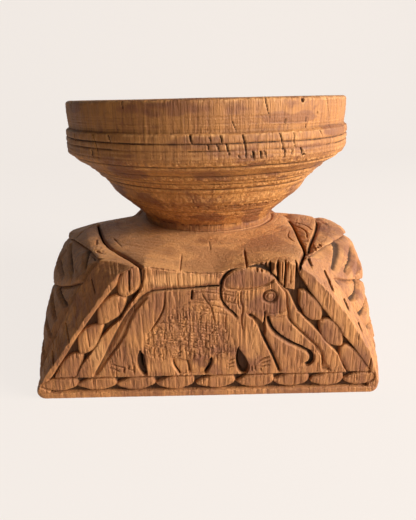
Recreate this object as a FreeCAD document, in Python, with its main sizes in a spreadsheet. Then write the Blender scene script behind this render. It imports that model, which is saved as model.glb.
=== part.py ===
import FreeCAD, Part
import os
import Sketcher

# A carved stool: a round turned seat with a through tenon, wedged into a square carved base block.
# Millimetres, +Z up, +X to the right of the elephant panel, the panel facing -Y.
# The origin lies on the ground under the middle of the block.

SIZES = {
    # The base block
    "base_width": 305.0,
    "base_depth": 305.0,
    "shoulder_height": 126.0,
    "bevel_depth": 17.5,
    "row_groove_depth": 3.0,
    "flute_radius": 4.5,
    "flute_depth": 2.6,
    "tongue_groove_depth": 5.0,
    # The carved panels
    "relief_depth": 5.0,
    "bead_recess": 1.0,
    "ground_depth": 2.3,
    "outline_depth": 3.6,
    "rail_height": 6.0,
    "row_bead_height": 14.0,
    "row_bed_height": 12.0,
    "row_bead_length": 29.0,
    "eye_radius": 5.0,
    "eye_depth": 1.5,
    # The turned seat: heights measured up from the joint, offset to the right of the block
    "seat_rise": 121.2,
    "seat_offset": 4.0,
    "rim_radius": 137.4,
    "rim_rounding": 3.0,
    "hollow_depth": 1.2,
    "hollow_radius": 45.0,
    "hollow_mouth_radius": 110.0,
    "rim_foot_rise": 98.5,
    "band_radius": 140.8,
    "band_top_radius": 139.6,
    "band_top_rise": 95.5,
    "band_foot_rise": 75.5,
    "score_width": 1.8,
    "score_depth": 1.2,
    "upper_score_rise": 89.0,
    "lower_score_rise": 84.0,
    "neck_radius": 68.8,
    # The wedged joint
    "tenon_radius": 25.0,
    "tenon_clearance": 0.15,
    "mortise_flare": 2.5,
    "flare_height": 45.0,
    "foot_recess": 0.5,
    "wedge_length": 44.0,
    "wedge_head": 5.0,
    "wedge_tip": 1.2,
    "wedge_spacing": 18.0,
    "kerf_clearance": 0.1,
    "cut_overrun": 4.0,
}

# The outlines below were chosen by hand as shares of the sizes that they follow.

# Flare under the seat: share of the way out from neck to band, share of the way up to the band's foot.
FLARE_SHARES = [
    ("arc", (0.011, 0.093), (0.104, 0.185)),
    ("line", (0.432, 0.477)),
    ("arc", (0.476, 0.556), (0.542, 0.636)),
    ("line", (0.683, 0.768)),
    ("arc", (0.889, 0.901), (1.0, 1.0)),
]

# Levels of the leaf-covered body: share of the shoulder height, then how each of the two kinds of corner
# runs from the side to the panel, as shares of the half width outwards and of the way out to the panels'
# bevels, then how far out the middle of the panel's side reaches, and whether the level is the bottom of a
# groove between rows.
BODY_LEVEL_SHARES = [
    (0.0, [(1.0, 0.960), (1.0, 0.975), (1.0, 0.989), (0.990, 1.0)],
     [(1.0, 0.960), (1.0, 0.975), (1.0, 0.989), (0.980, 1.0)], 1.0, False),
    (0.238, [(1.0, 0.940), (1.0, 0.957), (1.0, 0.974), (0.974, 1.0)],
     [(0.996, 0.925), (0.988, 0.950), (0.979, 0.974), (0.928, 1.0)], 1.0, False),
    (0.429, [(0.995, 0.852), (0.974, 0.930), (0.957, 0.974), (0.909, 1.0)],
     [(0.984, 0.816), (0.938, 0.913), (0.904, 0.974), (0.852, 1.0)], 1.0, False),
    (0.607, [(0.977, 0.730), (0.922, 0.872), (0.863, 0.974), (0.814, 1.0)],
     [(0.961, 0.665), (0.884, 0.841), (0.814, 0.974), (0.769, 1.0)], 1.0, False),
    (0.635, [(0.972, 0.710), (0.912, 0.862), (0.848, 0.974), (0.799, 1.0)],
     [(0.959, 0.639), (0.872, 0.828), (0.802, 0.974), (0.755, 1.0)], 1.0, True),
    (0.663, [(0.973, 0.678), (0.904, 0.847), (0.830, 0.974), (0.784, 1.0)],
     [(0.964, 0.600), (0.864, 0.810), (0.784, 0.974), (0.741, 1.0)], 1.0, False),
    (0.738, [(0.987, 0.591), (0.892, 0.806), (0.784, 0.974), (0.743, 1.0)],
     [(0.969, 0.496), (0.857, 0.761), (0.740, 0.974), (0.703, 1.0)], 1.0, False),
    (0.821, [(0.978, 0.457), (0.875, 0.742), (0.736, 0.974), (0.689, 1.0)],
     [(0.956, 0.334), (0.835, 0.683), (0.699, 0.974), (0.661, 1.0)], 1.0, False),
    (0.845, [(0.965, 0.430), (0.860, 0.726), (0.724, 0.974), (0.672, 1.0)],
     [(0.940, 0.305), (0.820, 0.670), (0.690, 0.974), (0.645, 1.0)], 1.0, True),
    (0.869, [(0.952, 0.409), (0.846, 0.719), (0.713, 0.974), (0.656, 1.0)],
     [(0.927, 0.283), (0.804, 0.660), (0.681, 0.974), (0.629, 1.0)], 1.0, False),
    (0.913, [(0.925, 0.383), (0.812, 0.707), (0.676, 0.974), (0.625, 1.0)],
     [(0.911, 0.300), (0.771, 0.651), (0.647, 0.974), (0.600, 1.0)], 1.0, False),
    (0.944, [(0.880, 0.364), (0.772, 0.698), (0.637, 0.974), (0.594, 1.0)],
     [(0.870, 0.310), (0.743, 0.645), (0.617, 0.974), (0.578, 1.0)], 1.0, False),
    (0.965, [(0.840, 0.351), (0.750, 0.660), (0.608, 0.974), (0.574, 1.0)],
     [(0.830, 0.320), (0.722, 0.641), (0.594, 0.974), (0.565, 1.0)], 0.800, False),
    (0.982, [(0.740, 0.330), (0.660, 0.620), (0.560, 0.950), (0.510, 1.0)],
     [(0.730, 0.320), (0.650, 0.610), (0.540, 0.950), (0.480, 1.0)], 0.660, False),
    (1.0, [(0.500, 0.250), (0.420, 0.400), (0.290, 0.530), (0.120, 0.575)],
     [(0.500, 0.250), (0.420, 0.400), (0.290, 0.530), (0.120, 0.575)], 0.570, False),
]
PANEL_MIDDLE_SHARE = 0.052

# Panel outlines: shares of the half width and of the shoulder height, from the left foot over the top.
PANEL_FACE_SHARES = [
    (-0.990, 0.0),
    (-0.915, 0.195),
    (-0.790, 0.397),
    (-0.557, 0.776),
    (-0.452, 0.928),
    (-0.335, 0.990),
    (-0.112, 0.948),
    (PANEL_MIDDLE_SHARE, 0.939),
    (0.315, 0.987),
    (0.491, 0.994),
    (0.572, 0.886),
    (0.637, 0.800),
    (0.878, 0.400),
    (0.951, 0.200),
    (0.995, 0.0),
]
PANEL_BACK_SHARES = [
    (-1.0, 0.0),
    (-0.970, 0.200),
    (-0.880, 0.420),
    (-0.682, 0.826),
    (-0.640, 0.900),
    (-0.575, 0.985),
    (-0.112, 0.955),
    (PANEL_MIDDLE_SHARE, 0.947),
    (0.315, 0.985),
    (0.564, 0.990),
    (0.665, 0.885),
    (0.726, 0.800),
    (0.947, 0.400),
    (0.995, 0.200),
    (1.0, 0.0),
]

# The relief, in the same shares: the two slanting bands and the tiles standing in them, the lowered grounds
# beside the elephant and under its belly, the rotted corner, and the cuts that draw the elephant.
BAND_SHARES = [
    [(-0.438, 0.944), (-0.466, 0.855), (-0.695, 0.513), (-0.893, 0.163), (-0.754, 0.163), (-0.705, 0.271),
     (-0.581, 0.477), (-0.515, 0.563), (-0.459, 0.617), (-0.330, 0.845)],
    [(0.479, 0.968), (0.498, 0.897), (0.557, 0.783), (0.939, 0.163), (0.800, 0.163), (0.738, 0.315),
     (0.499, 0.650), (0.435, 0.806)],
]
TILE_SHARES = [
    [(-0.452, 0.891), (-0.430, 0.935), (-0.330, 0.970), (-0.331, 0.851), (-0.366, 0.807), (-0.430, 0.771),
     (-0.454, 0.791)],
    [(-0.588, 0.582), (-0.582, 0.668), (-0.522, 0.750), (-0.475, 0.765), (-0.428, 0.745), (-0.469, 0.637),
     (-0.549, 0.581)],
    [(-0.707, 0.480), (-0.631, 0.553), (-0.572, 0.560), (-0.614, 0.412), (-0.687, 0.370), (-0.708, 0.375)],
    [(-0.786, 0.325), (-0.747, 0.343), (-0.705, 0.340), (-0.748, 0.190), (-0.850, 0.190)],
    [(0.493, 0.785), (0.528, 0.790), (0.590, 0.719), (0.622, 0.655), (0.625, 0.604), (0.611, 0.586),
     (0.569, 0.592), (0.498, 0.690)],
    [(0.624, 0.562), (0.658, 0.574), (0.692, 0.553), (0.748, 0.444), (0.748, 0.394), (0.721, 0.389),
     (0.672, 0.412), (0.632, 0.482)],
    [(0.750, 0.358), (0.776, 0.374), (0.852, 0.303), (0.915, 0.190), (0.820, 0.190), (0.753, 0.289)],
]
GROUND_SHARES = [
    [(-0.403, 0.679), (-0.462, 0.578), (-0.647, 0.175), (-0.624, 0.187), (-0.494, 0.392), (-0.439, 0.499),
     (-0.362, 0.693)],
    [(0.432, 0.787), (0.446, 0.640), (0.475, 0.560), (0.583, 0.415), (0.641, 0.300), (0.668, 0.190),
     (0.692, 0.190), (0.662, 0.310), (0.601, 0.432), (0.492, 0.580), (0.466, 0.650), (0.452, 0.780)],
    [(-0.193, 0.313), (-0.118, 0.290), (-0.039, 0.290), (0.030, 0.305), (-0.005, 0.179), (-0.163, 0.179)],
]
ROTTED_CORNER_SHARES = [
    [(0.308, 0.973), (0.377, 0.898), (0.426, 0.821), (0.475, 0.802), (0.479, 1.032), (0.308, 1.032)],
]
ELEPHANT_CUT_SHARES = [
    [(-0.389, 0.734), (-0.344, 0.788), (-0.298, 0.821), (-0.255, 0.832), (0.070, 0.855), (0.078, 0.890),
     (0.103, 0.934), (0.152, 0.971), (0.218, 0.986), (0.284, 0.980), (0.340, 0.953), (0.372, 0.920),
     (0.356, 0.898), (0.328, 0.928), (0.279, 0.952), (0.219, 0.957), (0.160, 0.944), (0.119, 0.913),
     (0.099, 0.878), (0.091, 0.841), (0.073, 0.827), (-0.253, 0.804), (-0.289, 0.794), (-0.330, 0.766),
     (-0.372, 0.713)],
    [(0.342, 0.626), (0.369, 0.531), (0.401, 0.487), (0.590, 0.335), (0.603, 0.293), (0.578, 0.282),
     (0.570, 0.315), (0.432, 0.417), (0.383, 0.464), (0.346, 0.515), (0.317, 0.619)],
    [(0.237, 0.648), (0.276, 0.611), (0.307, 0.545), (0.429, 0.190), (0.407, 0.180), (0.285, 0.533),
     (0.257, 0.593), (0.223, 0.625)],
    [(0.089, 0.791), (0.097, 0.733), (0.125, 0.683), (0.157, 0.647), (0.141, 0.627), (0.108, 0.666),
     (0.077, 0.723), (0.067, 0.786)],
]

# The two grooves beside the tongue on the top, as shares of the half width and of the half depth.
TONGUE_GROOVE_SHARES = [
    [(-0.715, -0.183), (-0.614, -0.485), (-0.558, -0.606), (-0.301, -0.995), (-0.325, -1.011),
     (-0.583, -0.619), (-0.641, -0.496), (-0.743, -0.192)],
    [(0.597, -0.092), (0.598, -0.430), (0.576, -0.765), (0.497, -1.009), (0.469, -1.0), (0.548, -0.760),
     (0.569, -0.429), (0.568, -0.093)],
]

# Beads of the bottom row: shares of the half width for their middles.
ROW_BEAD_SHARES = [-0.845, -0.635, -0.414, -0.186, 0.050, 0.277, 0.480, 0.685, 0.880]
EYE_SHARES = (0.345, 0.756)

# Flutes on the two lower leaf rows: the share of the half depth that a row of them spans, and the shares of
# the shoulder height at which each row starts and ends.
FLUTES_IN_ROW = 7
FLUTE_SPAN_SHARE = 0.96
FLUTE_ROW_SHARES = [(0.200, 0.600), (0.680, 0.815)]

document = FreeCAD.newDocument("carved_stool")
sheet = document.addObject("Spreadsheet::Sheet", "sizes")
for row, (alias, number) in enumerate(SIZES.items(), start=1):
    sheet.set(f"A{row}", alias)
    sheet.set(f"B{row}", str(number))
    sheet.setAlias(f"B{row}", alias)
document.recompute()


def worked_out(text):
    """The number that an expression over the sheet gives now."""
    return float(sheet.evalExpression(text))


def new_body(name, label):
    body = document.addObject("PartDesign::Body", name)
    body.Label = label
    return body


def new_sketch(body, name, plane_role, offset_text="0"):
    """A sketch on one of the body's own origin planes, moved along its normal by an expression."""
    sketch = body.newObject("Sketcher::SketchObject", name)
    plane = [part for part in body.Origin.OriginFeatures if part.Role == plane_role][0]
    sketch.AttachmentSupport = [(plane, "")]
    sketch.MapMode = "FlatFace"
    if offset_text != "0":
        sketch.setExpression(".AttachmentOffset.Base.z", offset_text)
    document.recompute()
    return sketch


def pin(sketch, geometry, position, across_text, up_text):
    """Holds one point of the sketch at two expressions, measured from the sketch's origin."""
    for kind, text in (("DistanceX", across_text), ("DistanceY", up_text)):
        number = sketch.addConstraint(Sketcher.Constraint(kind, geometry, position, worked_out(text)))
        sketch.setExpression(f"Constraints[{number}]", text)


def place(point_texts):
    return FreeCAD.Vector(worked_out(point_texts[0]), worked_out(point_texts[1]), 0)


def draw_outline(sketch, start, stretches):
    """Draws one closed outline. Each point is a pair of expressions, and an arc also has one on the way."""
    first = None
    here = start
    for kind, *points in stretches:
        end = points[-1]
        if kind == "line":
            number = sketch.addGeometry(Part.LineSegment(place(here), place(end)), False)
            pin(sketch, number, 1, *here)
            begins, ends = (number, 1), (number, 2)
        else:
            arc = Part.Arc(place(here), place(points[0]), place(end))
            number = sketch.addGeometry(arc, False)
            turned = (sketch.getPoint(number, 1) - place(here)).Length > (
                sketch.getPoint(number, 2) - place(here)
            ).Length
            begins, ends = ((number, 2), (number, 1)) if turned else ((number, 1), (number, 2))
            pin(sketch, number, begins[1], *here)
            middle = sketch.addGeometry(Part.Point(place(points[0])), True)
            pin(sketch, middle, 1, *points[0])
            sketch.addConstraint(Sketcher.Constraint("PointOnObject", middle, 1, number))
        if first is None:
            first = begins
        else:
            sketch.addConstraint(Sketcher.Constraint("Coincident", *last, *begins))
        last = ends
        here = end
    sketch.addConstraint(Sketcher.Constraint("Coincident", *last, *first))


def along(share, size_text, from_text="0"):
    """The expression for a share of one size, added to another."""
    return f"{from_text} + {share} * ({size_text})"


def on_panel(share_pair):
    """A point of a panel outline, given as shares of the half width and of the shoulder height."""
    return (along(share_pair[0], HALF_WIDTH), along(share_pair[1], SHOULDER))


HALF_WIDTH = "sizes.base_width / 2"
HALF_DEPTH = "sizes.base_depth / 2"
SHOULDER = "sizes.shoulder_height"
BODY_FRONT = "(sizes.base_depth / 2 - sizes.bevel_depth)"


def add_feature(body, kind, name, **properties):
    """A feature of the body with its properties set."""
    feature = body.newObject(kind, name)
    for key, value in properties.items():
        setattr(feature, key, value)
    return feature


def bind(feature, **texts):
    """Ties properties of a feature to expressions over the sheet."""
    for key, text in texts.items():
        feature.setExpression(key, text)
    document.recompute()
    return feature


def straight(points):
    """Straight stretches through the points and back to the first."""
    return [("line", point) for point in points[1:]] + [("line", points[0])]


def build_seat():
    """The turned seat: one profile turned round the upright axis, with the tenon below the joint."""
    body = new_body("TurnedSeat", "turned_seat")
    profile = new_sketch(body, "seat_profile", "XZ_Plane")
    tenon_end = "sizes.foot_recess - sizes.shoulder_height"

    def on_flare(share_pair):
        return (
            along(share_pair[0], "sizes.band_radius - sizes.neck_radius", "sizes.neck_radius"),
            along(share_pair[1], "sizes.band_foot_rise"),
        )

    stretches = [
        ("line", ("sizes.tenon_radius + sizes.mortise_flare", tenon_end)),
        ("line", ("sizes.tenon_radius", "sizes.flare_height - sizes.shoulder_height")),
        ("line", ("sizes.tenon_radius", "0")),
        ("line", ("sizes.neck_radius", "0")),
    ]
    stretches += [(kind, *[on_flare(pair) for pair in pairs]) for kind, *pairs in FLARE_SHARES]
    rounding_middle = "sizes.rim_rounding * (1 - sin(45))"
    stretches += [
        ("line", ("sizes.band_top_radius", "sizes.band_top_rise")),
        ("line", ("sizes.rim_radius", "sizes.rim_foot_rise")),
        ("line", ("sizes.rim_radius", "sizes.seat_rise - sizes.rim_rounding")),
        (
            "arc",
            (f"sizes.rim_radius - {rounding_middle}", f"sizes.seat_rise - {rounding_middle}"),
            ("sizes.rim_radius - sizes.rim_rounding", "sizes.seat_rise"),
        ),
        ("line", ("sizes.hollow_mouth_radius", "sizes.seat_rise")),
        ("line", ("sizes.hollow_radius", "sizes.seat_rise - sizes.hollow_depth")),
        ("line", ("0", "sizes.seat_rise - sizes.hollow_depth")),
        ("line", ("0", tenon_end)),
    ]
    draw_outline(profile, ("0", tenon_end), stretches)
    add_feature(body, "PartDesign::Revolution", "seat_turning", Profile=profile, Angle=360,
                ReferenceAxis=(profile, ["V_Axis"]))
    document.recompute()

    scores = new_sketch(body, "score_profile", "XZ_Plane")
    for rise in ("sizes.upper_score_rise", "sizes.lower_score_rise"):
        outside = "sizes.band_radius + sizes.cut_overrun"
        mouth = "sizes.score_width / 2 * (1 + sizes.cut_overrun / sizes.score_depth)"
        corners = [
            (outside, f"{rise} - {mouth}"),
            (outside, f"{rise} + {mouth}"),
            ("sizes.band_top_radius - sizes.score_depth", rise),
        ]
        draw_outline(scores, corners[0], straight(corners))
    add_feature(body, "PartDesign::Groove", "band_scores", Profile=scores, Angle=360,
                ReferenceAxis=(scores, ["V_Axis"]))
    document.recompute()

    kerfs = new_sketch(body, "kerf_profile", "XZ_Plane")
    for side in (-1, 1):
        middle = f"{side} * sizes.wedge_spacing / 2"
        mouth = "(sizes.wedge_head / 2 + sizes.kerf_clearance)"
        point = "(sizes.wedge_tip / 2 + sizes.kerf_clearance)"
        top = f"{tenon_end} + sizes.wedge_length + sizes.kerf_clearance"
        corners = [
            (f"{middle} - {mouth}", tenon_end),
            (f"{middle} + {mouth}", tenon_end),
            (f"{middle} + {point}", top),
            (f"{middle} - {point}", top),
        ]
        draw_outline(kerfs, corners[0], straight(corners))
    kerf_cut = add_feature(body, "PartDesign::Pocket", "wedge_kerfs", Profile=kerfs, Midplane=True)
    bind(kerf_cut, Length="2 * (sizes.tenon_radius + sizes.mortise_flare + sizes.cut_overrun)")
    body.setExpression(".Placement.Base.x", "sizes.seat_offset")
    body.setExpression(".Placement.Base.z", "sizes.shoulder_height")
    return body


def build_wedge(side, label):
    """A hardwood wedge, driven up into a kerf of the tenon."""
    body = new_body(label.title().replace("_", ""), label)
    profile = new_sketch(body, f"{label}_profile", "XZ_Plane")
    corners = [
        ("-sizes.wedge_head / 2", "0"),
        ("sizes.wedge_head / 2", "0"),
        ("sizes.wedge_tip / 2", "sizes.wedge_length"),
        ("-sizes.wedge_tip / 2", "sizes.wedge_length"),
    ]
    draw_outline(profile, corners[0], straight(corners))
    wedge = add_feature(body, "PartDesign::Pad", f"{label}_pad", Profile=profile, Midplane=True)
    reach = "((sizes.wedge_spacing + sizes.wedge_head) / 2)"
    bind(wedge, Length=f"2 * sqrt(sizes.tenon_radius ^ 2 - {reach} ^ 2)")
    body.setExpression(".Placement.Base.x", f"sizes.seat_offset + {side} * sizes.wedge_spacing / 2")
    body.setExpression(".Placement.Base.z", "sizes.foot_recess")
    return body


def lens(middle, length_text, width_text):
    """The outline of a pointed bead that lies level: its start and its two arcs."""
    across, up = middle
    low = (f"{across} - {length_text} / 2", up)
    high = (f"{across} + {length_text} / 2", up)
    under = (across, f"{up} - {width_text} / 2")
    over = (across, f"{up} + {width_text} / 2")
    return low, [("arc", under, high), ("arc", over, low)]


def turned_over(point):
    """The same point half a turn round the upright axis."""
    return (f"-({point[0]})", f"-({point[1]})")


def body_levels(body):
    """One outline for each level of the leaf-covered body, the back being the front turned over."""
    sketches = []
    for number, (level, right, left, middle_reach, grooved) in enumerate(BODY_LEVEL_SHARES):
        sketch = new_sketch(body, f"body_level_{number}", "XY_Plane", along(level, SHOULDER))
        inset = "sizes.row_groove_depth" if grooved else "0"
        front = [
            (f"{along(out, HALF_WIDTH)} - {inset}", f"-({along(ahead, BODY_FRONT)})")
            for out, ahead in right
        ]
        front.append((along(PANEL_MIDDLE_SHARE, HALF_WIDTH), f"-({along(middle_reach, BODY_FRONT)})"))
        front += [
            (f"-({along(out, HALF_WIDTH)} - {inset})", f"-({along(ahead, BODY_FRONT)})")
            for out, ahead in reversed(left)
        ]
        corners = front + [turned_over(point) for point in front]
        draw_outline(sketch, corners[0], straight(corners))
        sketches.append(sketch)
    return sketches


def build_base():
    """The carved block: leaf-covered body, two carved panels and the mortise for the seat."""
    body = new_body("CarvedBase", "carved_base")
    levels = body_levels(body)
    add_feature(body, "PartDesign::AdditiveLoft", "leaf_body", Profile=levels[0], Sections=levels[1:],
                Ruled=True)
    document.recompute()
    add_mortise(body)
    add_flutes(body)
    add_panels(body)
    return body


def add_cut(body, name, plane_role, offset_text, outlines, depth_text):
    """A pocket of one depth inside closed outlines of straight stretches."""
    sketch = new_sketch(body, f"{name}_outlines", plane_role, offset_text)
    for corners in outlines:
        draw_outline(sketch, corners[0], straight(corners))
    return bind(add_feature(body, "PartDesign::Pocket", name, Profile=sketch), Length=depth_text)


def add_panels(body):
    """The front panel with its tiles, beads and elephant, and the same again on the back."""
    face = new_sketch(body, "panel_face", "XZ_Plane", HALF_DEPTH)
    back = new_sketch(body, "panel_back", "XZ_Plane", BODY_FRONT)
    for sketch, shares in ((face, PANEL_FACE_SHARES), (back, PANEL_BACK_SHARES)):
        corners = [on_panel(pair) for pair in shares]
        draw_outline(sketch, corners[0], straight(corners))
    panel = add_feature(body, "PartDesign::AdditiveLoft", "panel_slab", Profile=face, Sections=[back],
                        Ruled=True)
    document.recompute()

    def panel_outlines(tables):
        return [[on_panel(pair) for pair in shares] for shares in tables]

    bed_end = along(ROW_BEAD_SHARES[-1], HALF_WIDTH)
    bed_start = along(ROW_BEAD_SHARES[0], HALF_WIDTH)
    row_middle = "(sizes.rail_height + sizes.row_bead_height / 2)"
    bed_foot = f"{row_middle} - sizes.row_bed_height / 2"
    bed_top = f"{row_middle} + sizes.row_bed_height / 2"
    bead_bed = [(bed_start, bed_foot), (bed_end, bed_foot), (bed_end, bed_top), (bed_start, bed_top)]
    cuts = [
        add_cut(body, name, "XZ_Plane", HALF_DEPTH, outlines, depth_text)
        for name, outlines, depth_text in (
            ("elephant_cuts", panel_outlines(ELEPHANT_CUT_SHARES), "sizes.outline_depth"),
            ("rotted_corner", panel_outlines(ROTTED_CORNER_SHARES), "sizes.outline_depth"),
            ("lowered_grounds", panel_outlines(GROUND_SHARES), "sizes.ground_depth"),
            ("tile_bands", panel_outlines(BAND_SHARES), "sizes.relief_depth"),
            ("bead_bed", [bead_bed], "sizes.relief_depth"),
        )
    ]

    bead_face = f"{HALF_DEPTH} - sizes.bead_recess"
    tiles = new_sketch(body, "tile_outlines", "XZ_Plane", bead_face)
    for corners in panel_outlines(TILE_SHARES):
        draw_outline(tiles, corners[0], straight(corners))
    bead_row = new_sketch(body, "bead_row_outlines", "XZ_Plane", bead_face)
    for share in ROW_BEAD_SHARES:
        middle = (along(share, HALF_WIDTH), row_middle)
        draw_outline(bead_row, *lens(middle, "sizes.row_bead_length", "sizes.row_bead_height"))
    raised = []
    for name, outline in (("tiles", tiles), ("bead_row", bead_row)):
        pad = add_feature(body, "PartDesign::Pad", name, Profile=outline, Reversed=True)
        raised.append(bind(pad, Length="sizes.relief_depth + sizes.cut_overrun"))

    eye = new_sketch(body, "eye_outline", "XZ_Plane", HALF_DEPTH)
    eye_middle = on_panel(EYE_SHARES)
    for radius_text in ("sizes.eye_radius", "sizes.eye_radius / 2"):
        number = eye.addGeometry(
            Part.Circle(place(eye_middle), FreeCAD.Vector(0, 0, 1), worked_out(radius_text)), False
        )
        pin(eye, number, 3, *eye_middle)
        ring = eye.addConstraint(Sketcher.Constraint("Radius", number, worked_out(radius_text)))
        eye.setExpression(f"Constraints[{ring}]", radius_text)
    eye_cut = bind(add_feature(body, "PartDesign::Pocket", "eye_ring", Profile=eye), Length="sizes.eye_depth")

    grooves = add_cut(
        body, "tongue_grooves", "XY_Plane", SHOULDER,
        [[(along(out, HALF_WIDTH), along(ahead, HALF_DEPTH)) for out, ahead in shares]
         for shares in TONGUE_GROOVE_SHARES],
        "sizes.tongue_groove_depth",
    )

    both = add_feature(body, "PartDesign::PolarPattern", "both_panels",
                       Originals=[panel, *cuts, *raised, eye_cut, grooves], Angle=360, Occurrences=2)
    upright = [part for part in body.Origin.OriginFeatures if part.Role == "Z_Axis"][0]
    both.Axis = (upright, [""])
    body.Tip = both
    document.recompute()


def add_flutes(body):
    """Half-round flutes that run up the two lower leaf rows on each side."""
    across = [part for part in body.Origin.OriginFeatures if part.Role == "Y_Axis"][0]
    for side, side_name in ((-1, "left"), (1, "right")):
        for row, (foot, head) in enumerate(FLUTE_ROW_SHARES, start=1):
            flute = add_feature(body, "PartDesign::SubtractiveCylinder", f"{side_name}_flute_{row}")
            plane = [part for part in body.Origin.OriginFeatures if part.Role == "XY_Plane"][0]
            flute.AttachmentSupport = [(plane, "")]
            flute.MapMode = "FlatFace"
            reach = f"({HALF_WIDTH} - sizes.flute_depth + sizes.flute_radius)"
            flute.setExpression(".AttachmentOffset.Base.x", f"{side} * {reach}")
            flute.setExpression(".AttachmentOffset.Base.y", f"-{FLUTE_SPAN_SHARE} / 2 * {HALF_DEPTH}")
            flute.setExpression(".AttachmentOffset.Base.z", along(foot, SHOULDER))
            bind(flute, Radius="sizes.flute_radius", Height=along(head - foot, SHOULDER))
            pattern = add_feature(body, "PartDesign::LinearPattern", f"{side_name}_flutes_{row}",
                                  Originals=[flute], Direction=(across, [""]), Occurrences=FLUTES_IN_ROW)
            pattern.setExpression("Length", f"{FLUTE_SPAN_SHARE} * {HALF_DEPTH}")
            body.Tip = pattern
            document.recompute()


def add_mortise(body):
    """The round mortise through the block, flared towards the ground."""
    profile = new_sketch(body, "mortise_profile", "XZ_Plane")
    profile.setExpression(".AttachmentOffset.Base.x", "sizes.seat_offset")
    wide = "sizes.tenon_radius + sizes.tenon_clearance + sizes.mortise_flare"
    narrow = "sizes.tenon_radius + sizes.tenon_clearance"
    top = "sizes.shoulder_height + sizes.cut_overrun"
    corners = [
        ("0", "0"),
        (wide, "0"),
        (narrow, "sizes.flare_height"),
        (narrow, top),
        ("0", top),
    ]
    draw_outline(profile, corners[0], straight(corners))
    before = body.Shape.Volume
    add_feature(body, "PartDesign::Groove", "mortise", Profile=profile, Angle=360,
                ReferenceAxis=(profile, ["V_Axis"]))
    document.recompute()
    if body.Shape.Volume >= before:
        raise RuntimeError("the mortise cut nothing")


def check_document():
    for item in document.Objects:
        for state in ("Invalid", "Error"):
            if state in item.State:
                raise RuntimeError(f"{item.Name} is {item.State}")


def export(pieces):
    """Writes one STEP file for each piece, named after its label."""
    os.makedirs("parts", exist_ok=True)
    for piece in pieces:
        shape = piece.Shape
        if shape.isNull() or not shape.isValid():
            raise RuntimeError(f"{piece.Label} has no valid shape")
        box = shape.BoundBox
        print(f"{piece.Label}: {len(shape.Solids)} solid, {len(shape.Faces)} faces, "
              f"{shape.Volume / 1000:.0f} cm3, z {box.ZMin:.1f} to {box.ZMax:.1f}, "
              f"{box.XLength:.1f} x {box.YLength:.1f}")
        shape.exportStep(f"parts/{piece.Label}.step")


stool_pieces = [
    build_seat(),
    build_base(),
    build_wedge(-1, "wedge_left"),
    build_wedge(1, "wedge_right"),
]
document.recompute()
check_document()
export(stool_pieces)
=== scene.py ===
import math

import bpy
import numpy as np
from mathutils import Matrix, Vector


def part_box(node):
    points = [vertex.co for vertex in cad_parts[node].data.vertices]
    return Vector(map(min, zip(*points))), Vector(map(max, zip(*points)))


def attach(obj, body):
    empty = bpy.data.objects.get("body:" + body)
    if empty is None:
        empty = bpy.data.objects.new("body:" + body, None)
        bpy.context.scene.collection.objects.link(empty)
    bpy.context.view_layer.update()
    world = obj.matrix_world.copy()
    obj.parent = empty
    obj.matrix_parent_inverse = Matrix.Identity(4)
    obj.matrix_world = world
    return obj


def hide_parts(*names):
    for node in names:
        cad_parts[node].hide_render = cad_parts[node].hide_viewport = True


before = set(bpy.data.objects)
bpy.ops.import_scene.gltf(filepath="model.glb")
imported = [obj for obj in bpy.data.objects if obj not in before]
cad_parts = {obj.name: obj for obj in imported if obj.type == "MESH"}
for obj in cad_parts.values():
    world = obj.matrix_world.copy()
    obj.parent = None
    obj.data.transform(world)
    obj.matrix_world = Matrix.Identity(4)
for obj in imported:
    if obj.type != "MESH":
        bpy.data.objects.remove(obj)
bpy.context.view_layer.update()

MM = 0.001
SEED = 7

# Sizes read from the frame, in millimetres
SEAT_LOW, SEAT_HIGH = (np.array(corner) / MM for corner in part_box("turned_seat"))
SEAT_AXIS = float((SEAT_LOW[0] + SEAT_HIGH[0]) / 2)
SEAT_TOP = SEAT_HIGH[2]
_, BASE_HIGH = (np.array(corner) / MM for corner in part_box("carved_base"))
HALF, SHOULDER = BASE_HIGH[0], BASE_HIGH[2]

# The least depth of the carved face behind the CAD face
SKIN = 0.25
# Half the gap that keeps the seat and the base apart at the joint
JOINT_GAP = 0.05


# Noise

NOISE_CELLS = 64


def noise(points, scales, seed):
    """Smooth value noise from 0 to 1 at points, one coordinate array per axis, with its own scale each."""
    table = np.random.default_rng(seed).random((NOISE_CELLS,) * len(points), dtype=np.float32)
    low, part = [], []
    for values, scale in zip(points, scales):
        grid = values / scale
        floor = np.floor(grid)
        share = (grid - floor).astype(np.float32)
        low.append(floor.astype(np.int64))
        part.append(share * share * (3 - 2 * share))
    total = 0
    for corner in range(1 << len(points)):
        weight, index = 1, []
        for axis in range(len(points)):
            up = corner >> axis & 1
            weight = weight * (part[axis] if up else 1 - part[axis])
            index.append((low[axis] + up) % NOISE_CELLS)
        total = total + weight * table[tuple(index)]
    return total


def layered(points, scales, seed, layers=3):
    """Noise summed over layers, each half the size and strength of the one before, from 0 to 1."""
    total, weight, norm = 0, 1, 0.0
    for layer in range(layers):
        shrunk = [scale / 2**layer for scale in scales]
        total = total + weight * noise(points, shrunk, seed + layer)
        norm += weight
        weight /= 2
    return total / norm


def smooth_step(low, high, values):
    share = np.clip((values - low) / (high - low), 0, 1)
    return share * share * (3 - 2 * share)


def blurred(values, size, axis, wraps):
    """A moving average over 2 * size + 1 samples along one axis."""
    total = np.zeros_like(values)
    for step in range(-size, size + 1):
        moved = np.roll(values, step, axis=axis)
        if not wraps and step:
            edge = [slice(None)] * values.ndim
            edge[axis] = slice(0, step) if step > 0 else slice(step, None)
            hold = [slice(None)] * values.ndim
            hold[axis] = slice(0, 1) if step > 0 else slice(-1, None)
            moved[tuple(edge)] = values[tuple(hold)]
        total += moved
    return total / (2 * size + 1)


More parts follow.
